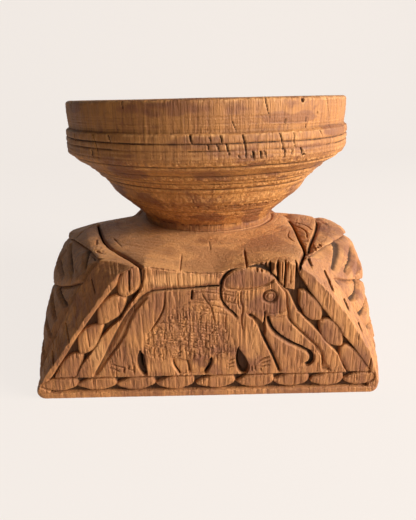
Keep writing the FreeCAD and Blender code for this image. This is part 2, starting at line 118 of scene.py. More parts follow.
def segment_distance(u, v, start, end):
    """Distance from points to a segment, and the share of the way along it."""
    du, dv = end[0] - start[0], end[1] - start[1]
    length = du * du + dv * dv
    share = np.clip(((u - start[0]) * du + (v - start[1]) * dv) / length, 0, 1)
    return np.hypot(u - start[0] - share * du, v - start[1] - share * dv), share


def add_mesh(name, points, face_groups, fields, material, slot, node):
    """A smooth-shaded mesh object from points in millimetres and groups of faces, with point attributes."""
    mesh = bpy.data.meshes.new(name)
    mesh.vertices.add(len(points))
    mesh.vertices.foreach_set("co", (points * MM).astype(np.float32).ravel())
    corners = np.concatenate([group.ravel() for group in face_groups])
    sizes = np.concatenate([np.full(len(group), group.shape[1]) for group in face_groups])
    mesh.loops.add(len(corners))
    mesh.loops.foreach_set("vertex_index", corners.astype(np.int32))
    mesh.polygons.add(len(sizes))
    mesh.polygons.foreach_set("loop_start", (np.cumsum(sizes) - sizes).astype(np.int32))
    mesh.update(calc_edges=True)
    mesh.polygons.foreach_set("use_smooth", np.ones(len(mesh.polygons), dtype=bool))
    for field, values in fields.items():
        layer = mesh.attributes.new(field, "FLOAT", "POINT")
        layer.data.foreach_set("value", values.astype(np.float32).ravel())
    mesh.materials.append(material)
    piece = bpy.data.objects.new(name, mesh)
    bpy.context.scene.collection.objects.link(piece)
    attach(piece, "root")
    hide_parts(node)


# Materials

def fill(node, values):
    for key, value in values.items():
        node.inputs[key].default_value = value


class Nodes:
    """Short-hand for building one material's nodes."""

    def __init__(self, name):
        self.material = bpy.data.materials.new(name)
        self.material.use_nodes = True
        self.tree = self.material.node_tree
        self.shader = self.tree.nodes["Principled BSDF"]
        self.place = self.add("ShaderNodeTexCoord").outputs["Object"]

    def add(self, kind, **settings):
        node = self.tree.nodes.new(kind)
        for key, value in settings.items():
            setattr(node, key, value)
        return node

    def link(self, source, target):
        if isinstance(source, (int, float, tuple)):
            target.default_value = source
        else:
            self.tree.links.new(source, target)

    def noise(self, scale, detail=3, rough=0.55, warp=0):
        mapping = self.add("ShaderNodeMapping")
        fill(mapping, {"Scale": scale})
        self.link(self.place, mapping.inputs["Vector"])
        node = self.add("ShaderNodeTexNoise")
        fill(node, {"Scale": 1, "Detail": detail, "Roughness": rough, "Distortion": warp})
        self.link(mapping.outputs["Vector"], node.inputs["Vector"])
        return node.outputs["Fac"]

    def field(self, name):
        return self.add("ShaderNodeAttribute", attribute_name=name).outputs["Fac"]

    def ramp(self, source, low, high, bottom=0, top=1):
        node = self.add("ShaderNodeMapRange", interpolation_type="SMOOTHSTEP")
        fill(node, {"From Min": low, "From Max": high, "To Min": bottom, "To Max": top})
        self.link(source, node.inputs["Value"])
        return node.outputs["Result"]

    def math(self, kind, first, second):
        node = self.add("ShaderNodeMath", operation=kind)
        self.link(first, node.inputs[0])
        self.link(second, node.inputs[1])
        return node.outputs[0]

    def mix(self, share, first, second, kind="MIX"):
        node = self.add("ShaderNodeMix", data_type="RGBA", blend_type=kind)
        self.link(share, node.inputs["Factor"])
        self.link(first, node.inputs["A"])
        self.link(second, node.inputs["B"])
        return node.outputs["Result"]


def colour(*screen):
    """A linear colour from the red, green and blue seen on a screen, 0 to 255."""
    return tuple(((c / 255 + 0.055) / 1.055) ** 2.4 if c > 10 else c / 3294 for c in screen) + (1.0,)


def wood(name, deep, plain, gold, stain, worn, stain_level, contrast=0.6):
    """Old hardwood with upright grain: streaks, fibres, stains, painted shade in hollows and cracks, and
    lighter edges and faces that are partly wear and partly painted light.
    """
    nodes = Nodes(name)
    deep, plain, gold, stain, worn = (colour(*screen) for screen in (deep, plain, gold, stain, worn))
    streaks = nodes.noise((260, 260, 14), 5, 0.62, 0.3)
    fibres = nodes.noise((820, 820, 42), 4, 0.6)
    clouds = nodes.noise((30, 30, 17), 4, 0.6, 0.4)
    glow = nodes.noise((75, 75, 26), 4, 0.65, 0.6)
    stains = nodes.noise((21, 24, 26), 5, 0.66, 0.8)
    specks = nodes.noise((420, 420, 170), 3, 0.6)
    cavity = nodes.field("cavity")

    spread = 0.6 * contrast
    tone = nodes.mix(nodes.ramp(streaks, 0.32, 0.72, 0.5 - spread, 0.5 + spread), plain, gold)
    for source, low, high, strength, tint in (
        (glow, 0.42, 0.68, 0.55, gold), (fibres, 0.49, 0.29, contrast, deep), (clouds, 0.55, 0.30, 0.45, plain),
        (stains, stain_level, stain_level + 0.12, 0.62, stain), (specks, 0.64, 0.74, 0.5, deep),
        # Lighter edges and faces: partly wear, partly painted light on upper faces, the flare and the neck;
        # then the stains
        (nodes.field("edge"), 0.08, 0.75, 0.7, worn), (nodes.field("shade"), 0, 1, 0.75, stain),
        # Painted shade: hollows and cracks darkened towards a deep brown
        (cavity, 0.03, 0.9, 0.93, colour(31, 15, 6)),
    ):
        tone = nodes.mix(nodes.ramp(source, low, high, 0, strength), tone, tint)
    nodes.link(tone, nodes.shader.inputs["Base Color"])

    dull, dusty = nodes.ramp(streaks, 0.3, 0.7, 0.50, 0.66), nodes.ramp(cavity, 0.1, 0.6, 0, 0.2)
    nodes.link(nodes.math("ADD", dull, dusty), nodes.shader.inputs["Roughness"])
    fill(nodes.shader, {"Specular IOR Level": 0.32})

    height = nodes.math("ADD", nodes.ramp(fibres, 0.25, 0.75, 0, 0.6), nodes.ramp(streaks, 0.25, 0.75))
    height = nodes.math("ADD", height, nodes.ramp(specks, 0.45, 0.75, 0, -0.4))
    bump = nodes.add("ShaderNodeBump")
    fill(bump, {"Strength": 0.85, "Distance": 0.00055})
    nodes.link(height, bump.inputs["Height"])
    nodes.link(bump.outputs["Normal"], nodes.shader.inputs["Normal"])
    return nodes.material


# Colours as seen on a screen: deep, plain and golden wood, stains, and worn edges; the worn colour also serves
# as painted light
SEAT_WOOD = wood("seat_wood", (76, 40, 14), (158, 102, 56), (212, 148, 80), (114, 67, 50), (230, 170, 106),
                 stain_level=0.55, contrast=0.46)
BASE_WOOD = wood("base_wood", (72, 38, 17), (158, 102, 64), (212, 148, 88), (118, 70, 54), (232, 170, 110),
                 stain_level=0.57)
WEDGE_WOOD = wood("wedge_wood", (60, 36, 22), (120, 80, 50), (158, 108, 66), (84, 56, 42), (170, 124, 80),
                  stain_level=0.60)


# The turned seat: measured outline, radius and height, from the rim down to the joint

SEAT_OUTLINE = [
    (133.2, 247.2), (135.4, 246.5), (136.6, 245.4), (137.1, 243.7), (137.3, 240), (137.3, 232),
    (136.9, 225), (137, 223.2), (139, 222), (139.8, 220.6), (140.2, 217), (140.4, 212),
    (140.5, 204), (140.1, 201.8), (138.3, 200), (136.6, 198), (134.7, 196), (132.8, 194),
    (129.8, 192), (126.3, 190), (122.6, 188), (119.7, 186), (117.9, 184), (116.4, 182),
    (114, 180), (111.5, 178), (109.3, 176), (107.8, 174), (106.3, 172), (104.6, 170),
    (103.1, 168), (102.2, 166), (101.1, 164), (99.9, 162), (98.3, 160), (96.6, 158),
    (94.7, 156), (92.2, 154), (89.6, 152), (87.2, 150), (85, 148), (82.9, 146),
    (80.7, 144), (78.5, 142), (76.3, 140), (74, 138), (72, 136), (70.3, 134),
    (69, 132), (68.6, 130), (68.6, 126),
]
# Cracks in the seat's side: angle and height of the top, angle and height of the foot, width
SEAT_CRACKS = [
    (18.5, 246.2, 19.9, 232.1, 1), (45.6, 246, 48.6, 223.3, 1), (52.4, 245.6, 55.4, 231.8, 0.9),
    (-5.1, 221.4, -4.9, 215.3, 1.7), (0.7, 219.7, 1, 216.1, 0.9), (3.9, 220.6, 4.5, 215.5, 1.1),
    (0.1, 214.3, 0.5, 210.1, 1), (2.8, 214.4, 3.7, 209.5, 1), (5.8, 214.4, 6.7, 205.9, 1.2),
    (11, 221, 12.3, 202, 1.3), (14.2, 208.2, 14.7, 202.2, 1.8), (16.7, 208, 17.3, 202, 1.8),
    (17.9, 208.6, 19, 202.7, 1), (23.6, 221, 24.7, 208.2, 1.3), (25.3, 208.8, 25.5, 201.6, 1.3),
    (28.2, 208, 28.7, 202.6, 1.1), (28.8, 220.6, 29.3, 209.6, 1.1), (32, 208.2, 33.3, 201.1, 1.8),
    (41.2, 221, 42.2, 216.5, 1.2), (13.6, 206, 13.9, 203, 0.9), (9.6, 206, 10.2, 203.4, 0.9),
    (-28, 246, -27.4, 239, 0.8), (-55, 221, -54.2, 212, 1), (-40, 214, -39.5, 206, 0.9),
    (8, 230, 9.2, 223.8, 0.8), (34.5, 231.5, 35, 223.6, 0.8), (26, 230.8, 26.3, 224.5, 0.7),
]
# Purplish smudges on the seat's side: angle, height, reach round and up, strength
SEAT_STAINS = [
    (-14, 240, 20, 6, 0.7), (6, 236, 12, 5, 0.4), (26, 240, 14, 5, 0.4), (42, 236, 8, 8, 0.35),
    (-2, 216, 16, 6, 0.7), (8, 209, 12, 6, 0.65), (24, 214, 12, 8, 0.45), (-34, 212, 14, 5, 0.4),
    (-8, 193, 26, 3, 0.45), (14, 187, 18, 3, 0.4), (-20, 158, 30, 5, 0.4), (20, 154, 26, 4, 0.5),
    (-6, 131, 24, 4, 0.5), (30, 140, 18, 4, 0.3), (120, 238, 30, 7, 0.6), (150, 212, 24, 7, 0.6),
    (-100, 216, 26, 6, 0.6), (-140, 238, 22, 7, 0.6), (-150, 190, 40, 4, 0.4), (100, 160, 50, 5, 0.4),
]
# Worm holes in the seat's side: angle, height, radius
SEAT_HOLES = [(32.9, 244.2, 1.9), (40.2, 234.3, 0.8), (33.6, 203.2, 1.1)]
# Turned lines (below zero) and beads: height, width, depth, share chipped away, length of the chips
SEAT_RINGS = [
    (222.9, 0.5, -0.3, 0.3, 9), (215, 0.75, -1.25, 0.25, 9), (209.7, 0.7, -0.9, 0.45, 12),
    (202.6, 0.7, -0.7, 0.3, 6), (199.4, 1.3, 0.9, 0.75, 2.2), (196.2, 0.8, -1.3, 0.2, 8),
    (191.2, 0.6, -0.7, 0.3, 8), (187.3, 0.7, -0.9, 0.2, 6), (185, 1.2, 1, 0.75, 2),
    (182.4, 0.7, -0.7, 0.2, 6), (179.4, 0.7, -0.8, 0.2, 6), (177.2, 1.1, 0.9, 0.75, 2),
    (174, 0.8, -1.2, 0.2, 9), (163, 0.5, -0.3, 0.5, 20), (158.8, 0.6, -0.6, 0.4, 7),
    (156, 1.5, -1, 0.85, 2.2), (152.9, 0.6, -0.7, 0.3, 9), (148.3, 0.6, -0.9, 0.3, 14),
    (143.3, 0.6, -0.9, 0.3, 14), (138.4, 0.5, -0.4, 0.4, 9), (132, 1.4, -0.5, 0.9, 3.6),
    (128.2, 0.8, -0.3, 0.9, 3.2), (231.5, 0.45, -0.3, 0.6, 16), (229, 0.45, -0.34, 0.5, 22),
    (226.8, 0.4, -0.28, 0.6, 22), (233.6, 0.5, -0.35, 0.5, 18), (224.9, 0.4, -0.3, 0.5, 20),
    (228, 0.4, 0.25, 0.5, 12), (206.3, 0.4, -0.35, 0.6, 14), (193.4, 0.5, -0.4, 0.4, 12),
    (169.5, 0.5, -0.35, 0.5, 14), (166.4, 0.4, 0.3, 0.6, 9), (145.6, 0.4, 0.35, 0.6, 3),
    (150.6, 0.4, 0.3, 0.6, 4), (141, 0.4, -0.4, 0.5, 10),
]
# The heart of the tree in the seat's top, and the radius at which angles on the seat count as lengths
HEART_X, HEART_Y = 22, -14
RIM_RADIUS = 137
# Steps of the seat's grid
AROUND = 1080
DOWN_STEP = 0.62


class Seat:
    """The seat as a grid, places round by places down: a clean turned shape and how wear pushes it out."""

    def __init__(self):
        outline = np.array(SEAT_OUTLINE)
        run = np.concatenate([[0], np.cumsum(np.hypot(*np.diff(outline, axis=0).T))])
        at = np.linspace(0, run[-1], int(run[-1] / DOWN_STEP))
        inner, outer = np.linspace(0.4, 112, 64)[:-1], np.linspace(112, outline[0, 0], 24)[:-1]
        self.first = len(inner) + len(outer)
        r = np.concatenate([inner, outer, np.interp(at, run, outline[:, 0])])
        z = np.concatenate([np.full(self.first, SEAT_TOP), np.interp(at, run, outline[:, 1])])
        slope_r, slope_z = np.gradient(r), np.gradient(z)
        size = np.hypot(slope_r, slope_z)
        self.out_r, self.out_z = -slope_z / size, slope_r / size
        self.out_r[:self.first], self.out_z[:self.first] = 0, 1
        self.on_side = np.zeros(len(z))
        self.on_side[self.first:] = 1

        self.angle = np.linspace(-np.pi, np.pi, AROUND, endpoint=False)
        self.turn, self.level = np.meshgrid(self.angle, z, indexing="ij")
        self.radius = np.broadcast_to(r, self.turn.shape)
        self.x, self.y = self.radius * np.sin(self.turn), -self.radius * np.cos(self.turn)
        self.rim_x, self.rim_y = RIM_RADIUS * np.sin(self.turn), -RIM_RADIUS * np.cos(self.turn)
        # The rings wander a little, and sit higher on the left than on the right
        wander = noise((self.rim_x, self.rim_y), (45, 45), SEED + 1) - 0.5
        self.height = self.level + np.sin(self.turn) + 1.4 * wander
        self.push = np.zeros_like(self.turn)
        # Painted shade inside the cracks, worm holes and checks
        self.crack_shade = np.zeros_like(self.turn)

    def round_noise(self, z, across, up, seed, layers):
        """Noise that stays the same from rim to neck: places count as if they lay on the rim."""
        return layered((self.rim_x, self.rim_y, z), (across, across, up), SEED + seed, layers)

    def worn_noise(self, z, across, up, seed, layers):
        return layered((self.x, self.y, z), (across, across, up), SEED + seed, layers)

    def top_noise(self, size, seed, layers):
        return layered((self.x, self.y), (size, size), SEED + seed, layers)

    def turn_rings(self):
        for middle, width, depth, chip, spread in SEAT_RINGS:
            bits = self.worn_noise(self.height, spread, 3, 20 + int(middle * 10), 2)
            line = np.exp(-(((self.height - middle) / width) ** 2))
            line = line * (1 - chip + chip * smooth_step(0.42, 0.62, bits))
            self.push += depth * line * self.on_side

    def roughen(self):
        """Turning marks, upright grain and slow unevenness."""
        turned = self.round_noise(self.height, 160, 1.3, 3, 2) - 0.5
        grain = self.worn_noise(self.level, 1.5, 18, 5, 3) - 0.5
        patch = smooth_step(0.42, 0.66, self.round_noise(self.level, 34, 15, 6, 2))
        slow = self.round_noise(self.level, 55, 30, 7, 3) - 0.5
        self.push += (turned * 0.42 + grain * (0.18 + 0.36 * patch) + slow * 1.2) * self.on_side

    def crack(self, top_angle, top_z, foot_angle, foot_z, width):
        top, foot = np.radians(top_angle), np.radians(foot_angle)
        middle = (top + foot) / 2
        away = np.angle(np.exp(1j * (self.angle - middle)))
        columns = np.nonzero(np.abs(away) < 0.05)[0]
        level = self.level[columns]
        near = (away[columns][:, None] + middle) * RIM_RADIUS
        bend = (noise((level, level * 0), (3, 5), SEED + int(top_z)) - 0.5) * 0.8
        start, end = (top * RIM_RADIUS, top_z), (foot * RIM_RADIUS, foot_z)
        reach, share = segment_distance(near + bend, level, start, end)
        half = width * 0.62 * (1 - 0.75 * share**2)
        cut = np.clip(1 - reach / half, 0, 1) * self.on_side
        self.push[columns] -= cut * (0.9 + width)
        # Painted shade inside the crack
        self.crack_shade[columns] = np.maximum(self.crack_shade[columns], np.minimum(1, cut * 1.6))

    def crack_side(self, chance):
        """The measured cracks in front, others of the same kind all round, and the worm holes."""
        cracks = list(SEAT_CRACKS)
        for _ in range(70):
            where = chance.uniform(58, 330)
            top = chance.choice([246, 221.2, 221, 214.4, 208.6, 208.2])
            drop = chance.uniform(3.5, 7.5) if top < 230 else chance.uniform(6, 24)
            cracks.append((where, top, where + chance.uniform(0.1, 1.2), top - drop, chance.uniform(0.8, 1.6)))
        for crack in cracks:
            self.crack(*crack)
        for hole_angle, hole_z, size in SEAT_HOLES:
            reach = np.hypot((self.turn - np.radians(hole_angle)) * RIM_RADIUS, self.level - hole_z)
            cut = smooth_step(size * 1.15, size * 0.6, reach) * self.on_side
            self.push -= cut * 3
            # Painted shade inside the holes
            self.crack_shade = np.maximum(self.crack_shade, cut)

    def wear_top(self, chance):
        """The top shows end grain: slow dishing, fine rings and radial checks."""
        flat = 1 - self.on_side
        dish = 0.9 * np.exp(-((self.radius / 75) ** 2)) + 0.5 * self.top_noise(60, 11, 3)
        heart = np.hypot(self.x - HEART_X, self.y - HEART_Y) + 7 * (self.top_noise(50, 12, 2) - 0.5)
        rings = 0.5 + 0.5 * np.sin(heart / 3.3 + 2 * self.top_noise(40, 13, 2))
        self.push -= flat * (dish + 0.12 * rings + 0.16 * self.top_noise(2, 14, 2))
        wave = (self.top_noise(14, 15, 2) - 0.5) * 4
        for _ in range(26):
            bearing = chance.uniform(-np.pi, np.pi)
            inner, outer = chance.uniform(8, 90), chance.uniform(100, 133)
            wide = chance.uniform(0.5, 1.3)
            start, end = ((HEART_X + out * np.sin(bearing), HEART_Y - out * np.cos(bearing))
                          for out in (inner, outer + 10))
            reach, share = segment_distance(self.x + wave, self.y - wave, start, end)
            half = wide * (0.35 + share) * (1 - share**6)
            cut = np.clip(1 - reach / np.maximum(half, 0.05), 0, 1) * flat
            self.push -= cut * 1.6
            # Painted shade inside the checks
            self.crack_shade = np.maximum(self.crack_shade, cut)

    def finish(self):
        """The finished surface, a little inside the turned shape and calmer along the top edge."""
        edge_fade = smooth_step(0, 6, np.abs(np.arange(len(self.on_side)) - self.first))
        push = self.push * np.where(self.on_side > 0, 0.35 + 0.65 * edge_fade, 0.5 + 0.5 * edge_fade) - 0.25
        self.new_r = self.radius + push * self.out_r
        self.new_z = np.minimum(self.level + push * self.out_z, SEAT_TOP - 0.02)

    def shade_and_wear(self):
        """Painted shade in hollows and cracks, and lighter edges that are partly wear and partly painted
        highlight, read from how each point lies against the average of its surroundings.
        """
        hollow = 0
        for reach in (2, 5):
            mean_r, mean_z = (blurred(blurred(values, reach, 1, False), reach, 0, True)
                              for values in (self.new_r, self.new_z))
            hollow = hollow + (mean_r - self.new_r) * self.out_r + (mean_z - self.new_z) * self.out_z
        hollow = np.where(self.on_side > 0, hollow, hollow * 1.2)
        rim = slice(self.first - 5, self.first + 3)
        hollow[:, rim] = np.minimum(hollow[:, rim], -0.1)
        # Painted shade in the hollows, weaker on the ledge at 223 mm where the light reaches
        cavity = np.clip(hollow * 0.66 - 0.05, 0, 1)
        cavity *= 1 - 0.55 * np.exp(-(((self.new_z - 223) / 1.6) ** 2))
        # Lighter edges, partly wear and partly painted highlight
        edge = np.clip(-hollow * 1.1, 0, 1)
        # Painted light: the lower flare and the neck are made lighter, with darker smears
        painted_light = smooth_step(176, 164, self.new_z) * smooth_step(131, 137, self.new_z) * self.on_side
        edge = np.maximum(edge, 0.55 * painted_light * (0.4 + self.round_noise(self.level * 6, 30, 14, 37, 3)))
        chips = smooth_step(0.5, 0.7, self.worn_noise(self.level, 1.8, 4, 31, 1))
        edge *= (0.35 + 0.65 * chips) * (0.04 + 0.96 * smooth_step(131, 141, self.new_z))
        return np.maximum(cavity, self.crack_shade * 0.95), edge

    def stains(self):
        """Darker wood in patches, at the joint and on the rim and band, and the measured smudges."""
        stained = self.round_noise(self.level, 38, 11, 33, 4)
        joint = smooth_step(133, 127, self.new_z) * 0.6 * (0.5 + self.top_noise(9, 34, 2))
        browner = 0.40 * smooth_step(196, 202, self.new_z) * (0.7 + 0.6 * stained)
        shade = np.maximum(np.maximum(smooth_step(0.50, 0.64, stained) * 0.75, joint), browner)
        smudged = 0.7 * (self.round_noise(self.level * 1.6, 16, 16, 35, 4) - 0.5)
        streaked = 0.5 + self.worn_noise(self.level, 5, 12, 36, 3)
        for middle, middle_z, reach, reach_z, amount in SEAT_STAINS:
            away = np.angle(np.exp(1j * (self.turn - np.radians(middle)))) / np.radians(reach)
            away = np.hypot(away, (self.height - middle_z) / reach_z) + smudged
            shade = np.maximum(shade, amount * smooth_step(1.15, 0.5, away) * streaked)
        return np.clip(shade * self.on_side, 0, 1)

    def mesh(self, fields):
        """Points, faces and fields of the closed mesh, with a point in the middle of top and foot."""
        x, y = self.new_r * np.sin(self.turn) + SEAT_AXIS, -self.new_r * np.cos(self.turn)
        z = self.new_z
        z[:, -1] = SHOULDER + JOINT_GAP
        middles = [[SEAT_AXIS, 0, z[:, 0].mean()], [SEAT_AXIS, 0, SHOULDER + JOINT_GAP]]
        points = np.concatenate([np.stack([x, y, z], axis=2).reshape(-1, 3), middles])
        fields = {key: np.append(value, [0, 0]) for key, value in fields.items()}
        count = z.shape[1]
        one = np.arange(AROUND)[:, None] * count
        two = np.roll(one, -1, axis=0)
        down = np.arange(count - 1)[None, :]
        quads = np.stack([one + down, one + down + 1, two + down + 1, two + down], axis=2).reshape(-1, 4)
        top, foot = np.full(AROUND, len(points) - 2), np.full(AROUND, len(points) - 1)
        one, two, last = one[:, 0], two[:, 0], count - 1
        caps = [np.stack([one, two, top], axis=1), np.stack([two + last, one + last, foot], axis=1)]
        return points, [quads, *caps], fields


def build_seat():
    seat = Seat()
    chance = np.random.default_rng(SEED + 9)
    seat.turn_rings()
    seat.roughen()
    seat.crack_side(chance)
    seat.wear_top(chance)
    seat.finish()
    cavity, edge = seat.shade_and_wear()
    return seat.mesh({"cavity": cavity, "edge": edge, "shade": seat.stains()})


# The tenon under the seat: its radius, its flare towards the ground and the kerfs that the wedges spread

TENON_RADIUS, TENON_FLARE, TENON_FOOT = 25, 2.5, 0.5
KERF_MOUTH, KERF_POINT, KERF_TOP, KERF_MIDDLES = 2.6, 0.7, 44.6, (-9, 9)
TENON_STEPS = 12
# A place past the tenon's side, where a split part has no kerf
PAST = 99


def disc_part(radius, left, right, level, count=40):
    """Places round the part of a disc between two upright planes."""
    turn = np.linspace(np.arcsin(max(left / radius, -1)), np.arcsin(min(right / radius, 1)), count)
    x = radius * np.sin(turn)
    y = radius * np.cos(turn)
    ring = np.concatenate([np.stack([x, -y], axis=1), np.stack([x, y], axis=1)[::-1]])
    rough = 0.12 * (layered((ring[:, 0] * 9, ring[:, 1] * 9), (20, 20), SEED + 41, 2) - 0.8)
    ring = ring * (1 + rough / radius)[:, None]
    return np.column_stack([ring[:, 0] + SEAT_AXIS, ring[:, 1], np.full(len(ring), level)])


def build_tenon():
    """The tenon in closed parts: a whole round above the kerfs, and three split parts between them."""
    wide = TENON_RADIUS + TENON_FLARE
    parts = [((TENON_RADIUS, -PAST, PAST, SHOULDER + JOINT_GAP), (TENON_RADIUS, -PAST, PAST, KERF_TOP))]
    edges = [-PAST, *KERF_MIDDLES, PAST]
    for left, right in zip(edges, edges[1:]):
        parts.append(((TENON_RADIUS, left + KERF_POINT, right - KERF_POINT, KERF_TOP),
                      (wide, left + KERF_MOUTH, right - KERF_MOUTH, TENON_FOOT)))
    points, faces = [], []
    start = 0
    for top, foot in parts:
        shares = np.arange(TENON_STEPS + 1) / TENON_STEPS
        rings = [disc_part(*(a + (b - a) * share for a, b in zip(top, foot))) for share in shares]
        around = len(rings[0])
        points += rings + [rings[0].mean(axis=0, keepdims=True), rings[-1].mean(axis=0, keepdims=True)]
        here = np.arange(around)
        after = (here + 1) % around
        last = start + TENON_STEPS * around
        for one in range(start, last, around):
            two = one + around
            faces.append(np.stack([one + here, two + here, two + after, one + after], axis=1))
        faces.append(np.stack([start + here, start + after, np.full(around, last + around)], axis=1))
        faces.append(np.stack([last + after, last + here, np.full(around, last + around + 1)], axis=1))
        start = last + around + 2
    points = np.concatenate(points)
    grown = layered(points.T, (3, 3, 30), SEED + 42, 2)
    fields = {"cavity": 0.35 * smooth_step(0.55, 0.75, grown), "edge": 0.3 * grown, "shade": 0.5 + 0 * grown}
    return points, faces, fields


# The carved base. Outlines are in millimetres, across from the middle of the block and up from the ground

# How far the face and its bevels reach left and right of the middle, by height, and the height of the face's
# top edge, by place across
FACE_LEFT = [(0, 152), (7.8, 149), (24.4, 139.6), (50, 120.3), (76.6, 100.8), (97.7, 84.8),
             (116.9, 69.1), (120.7, 60.2), (124.7, 51.3), (126.4, 48.8)]
FACE_RIGHT = [(0, 152), (7.7, 150.9), (25.2, 145), (42, 138.7), (59.7, 128.1), (72.9, 119.1),
              (87.4, 108.6), (100.6, 97.1), (111.6, 87.2), (120.1, 76.6), (126.4, 74.8)]
BEVEL_LEFT = [(0, 153), (8, 152.4), (23.5, 148.1), (53.3, 133.9), (78.1, 119.8), (103.8, 104.1),
              (126, 86)]
BEVEL_RIGHT = [(0, 154.5), (10, 154), (30.4, 152), (49, 145.3), (68.3, 133.1), (95.4, 115.2),
               (114.2, 99.7), (126, 86)]
TOP_LINE = [(-48.8, 125.2), (-39.9, 123.5), (-17.1, 119.4), (8, 118.3), (28.1, 121), (48.1, 124.4),
            (66.9, 125.6), (74.8, 125.2)]
# How far back the bevels reach, by height
BEVEL_DEPTH = 17.5
BEVEL_DEPTHS = [(0, 4), (10, 8), (30, 13), (55, BEVEL_DEPTH)]
# Heights of the ground line under the elephant and of the rail along the foot
STRIP_LOW, RAIL = 20.6, 5.8

# The outer and inner borders of the slanting bands of tiles, and the lines beyond them
FRAME_LEFT = [(-66.8, 119), (-71.1, 107.7), (-81.2, 96.6), (-89.3, 86.2), (-106, 64.6),
              (-117.6, 47.6), (-128.7, 31.5), (-136.2, 20.6)]
STRIP_OUT_LEFT = [(-50.4, 106.5), (-54.1, 100.7), (-62.8, 89.4), (-70, 77.8), (-78.6, 71),
                  (-88.6, 60.1), (-95.1, 49.8), (-107.5, 34.2), (-115, 20.6)]
STRIP_IN_LEFT = [(-49.1, 98.7), (-61.4, 85.5), (-70.4, 72.8), (-80.1, 55.7), (-89.2, 38), (-98.6, 22.1)]
RUMP_RIDGE = [(-46.5, 96.6), (-55.2, 87.3), (-62.5, 73.7), (-66.9, 62.9), (-75.3, 49.4), (-85.6, 36.8),
              (-95.2, 23.6)]
FRAME_RIGHT = [(73.1, 122), (76, 113), (85, 98.7), (95.5, 84.5), (105.1, 72), (115.1, 58.1),
               (126.2, 44.9), (143.2, 20.6)]
STRIP_OUT_RIGHT = [(66.4, 101.6), (76.1, 81.9), (83, 73.5), (94.9, 60.7), (102.2, 50.9), (112.5, 39.7),
                   (118.5, 26.2), (122, 20.6)]
STRIP_IN_RIGHT = [(65.5, 99.1), (67.8, 83.1), (69.9, 73.9), (77.9, 62.6), (89.8, 51.2), (105, 27.5),
                  (109.2, 21.9)]
# The tiles of both bands, and the blocks left standing in the rotted corner
TILES = [
    [(-68.9, 112.3), (-65.6, 117.8), (-59.3, 121.6), (-51.5, 124.8), (-49.4, 123.9), (-50.5, 107.2),
     (-55.8, 101.7), (-61.2, 98.5), (-65.6, 97.2), (-69.3, 99.7), (-70.2, 103)],
    [(-89.7, 73.3), (-88.8, 84.2), (-85.3, 90.4), (-79.6, 95.6), (-72.4, 98.6), (-64.7, 96),
     (-65.8, 90.5), (-68.5, 84.7), (-71.5, 80.3), (-78.1, 76), (-83.7, 73.2)],
    [(-109.1, 48.1), (-107.8, 60.5), (-103, 66.6), (-96.3, 70.9), (-86, 72.2), (-87.2, 66.2),
     (-89.5, 60.1), (-93.6, 51.9), (-99.1, 46.8), (-104.8, 44.6), (-107.9, 45.4)],
    [(-131.5, 24), (-125.3, 34.6), (-119.9, 40.9), (-113.9, 44.5), (-106.3, 44), (-107.1, 37.4),
     (-110.2, 31), (-114, 22.5), (-120.8, 20.6), (-131.9, 20.6)],
    [(75.2, 98.9), (76.5, 100), (80.5, 99.6), (85.2, 95.7), (90.9, 90.6), (95.6, 82.5), (96.1, 75.3),
     (93.2, 72.3), (86.7, 73.5), (79.9, 79.8), (76, 87)],
    [(94.6, 71.7), (100.4, 73.6), (106.1, 70.9), (111.3, 64.5), (115.3, 56), (115, 48.4),
     (109.9, 47.7), (102.2, 50.9), (95.8, 60.7)],
    [(113.7, 45.7), (118.3, 48.4), (124.3, 44.9), (130.6, 38.2), (136.2, 30.3), (141.5, 21.1),
     (124.7, 20.6), (119.3, 27.3), (114.2, 36.4)],
]
WORN_BLOCKS = [
    [(64.6, 118.9), (66.9, 123.6), (71.8, 122.7), (72.2, 100.9), (64.9, 102.4)],
    [(59.4, 128), (63.2, 128), (63.4, 104.2), (59.8, 108.8)],
    [(53.2, 128), (57.2, 128), (57.8, 112.2), (53.6, 116.2)],
]
# The row of beads under the ground line: middles, room for the last one, and one bead's outline
ROW_MIDDLES = [-131, -96.8, -63.1, -28.3, 7, 41.6, 73.4, 104.6, 133]
LAST_ROW_GAP = 26.6
ROW_BEAD = [(-17.2, 13.2), (-13.5, 15.6), (-8, 17.8), (-1, 19.8), (6, 20.6), (14, 20.2),
            (16.6, 16.8), (16.2, 12.6), (11.4, 9.4), (4, 7.4), (-4, 7.2), (-11, 9), (-15.2, 11)]
# A place past the side of the block
PAST_FACE = 160
# Darker, purplish patches on the panel, and rubbed lighter ones below zero: middle, reach, strength
STAINS = [
    (50, 88, 18, 12, 0.75), (36, 111, 21, 8, 0.7), (85, 86, 12, 14, 0.5), (104, 60, 12, 14, 0.6),
    (128, 34, 14, 16, 0.55), (-58, 78, 16, 18, 0.5), (-74, 48, 14, 16, 0.45), (-4, 60, 26, 18, 0.45),
    (62, 52, 20, 14, 0.4), (6, 14, 150, 5, 0.3), (-95, 84, 10, 22, 0.4), (-30, 56, 16, 10, 0.35),
    (-22, 112, 32, 6, -0.9), (-92, 42, 8, 22, -0.8), (40, 50, 8, 20, -0.5), (-30, 30, 30, 6, -0.5),
    (110, 90, 6, 24, -0.5), (76, 60, 6, 16, -0.6),
]
# The same on the top and the leaves beside it, in plan
TOP_STAINS = [
    (100, -28, 14, 30, 0.6), (128, -62, 18, 36, 0.75), (142, -98, 12, 26, 0.6), (-106, -42, 24, 30, 0.6),
    (14, -92, 34, 9, 0.35), (-44, -112, 26, 12, 0.35), (80, -70, 10, 30, 0.4), (-86, -66, 14, 30, 0.5),
    (108, -120, 16, 20, 0.35),
]


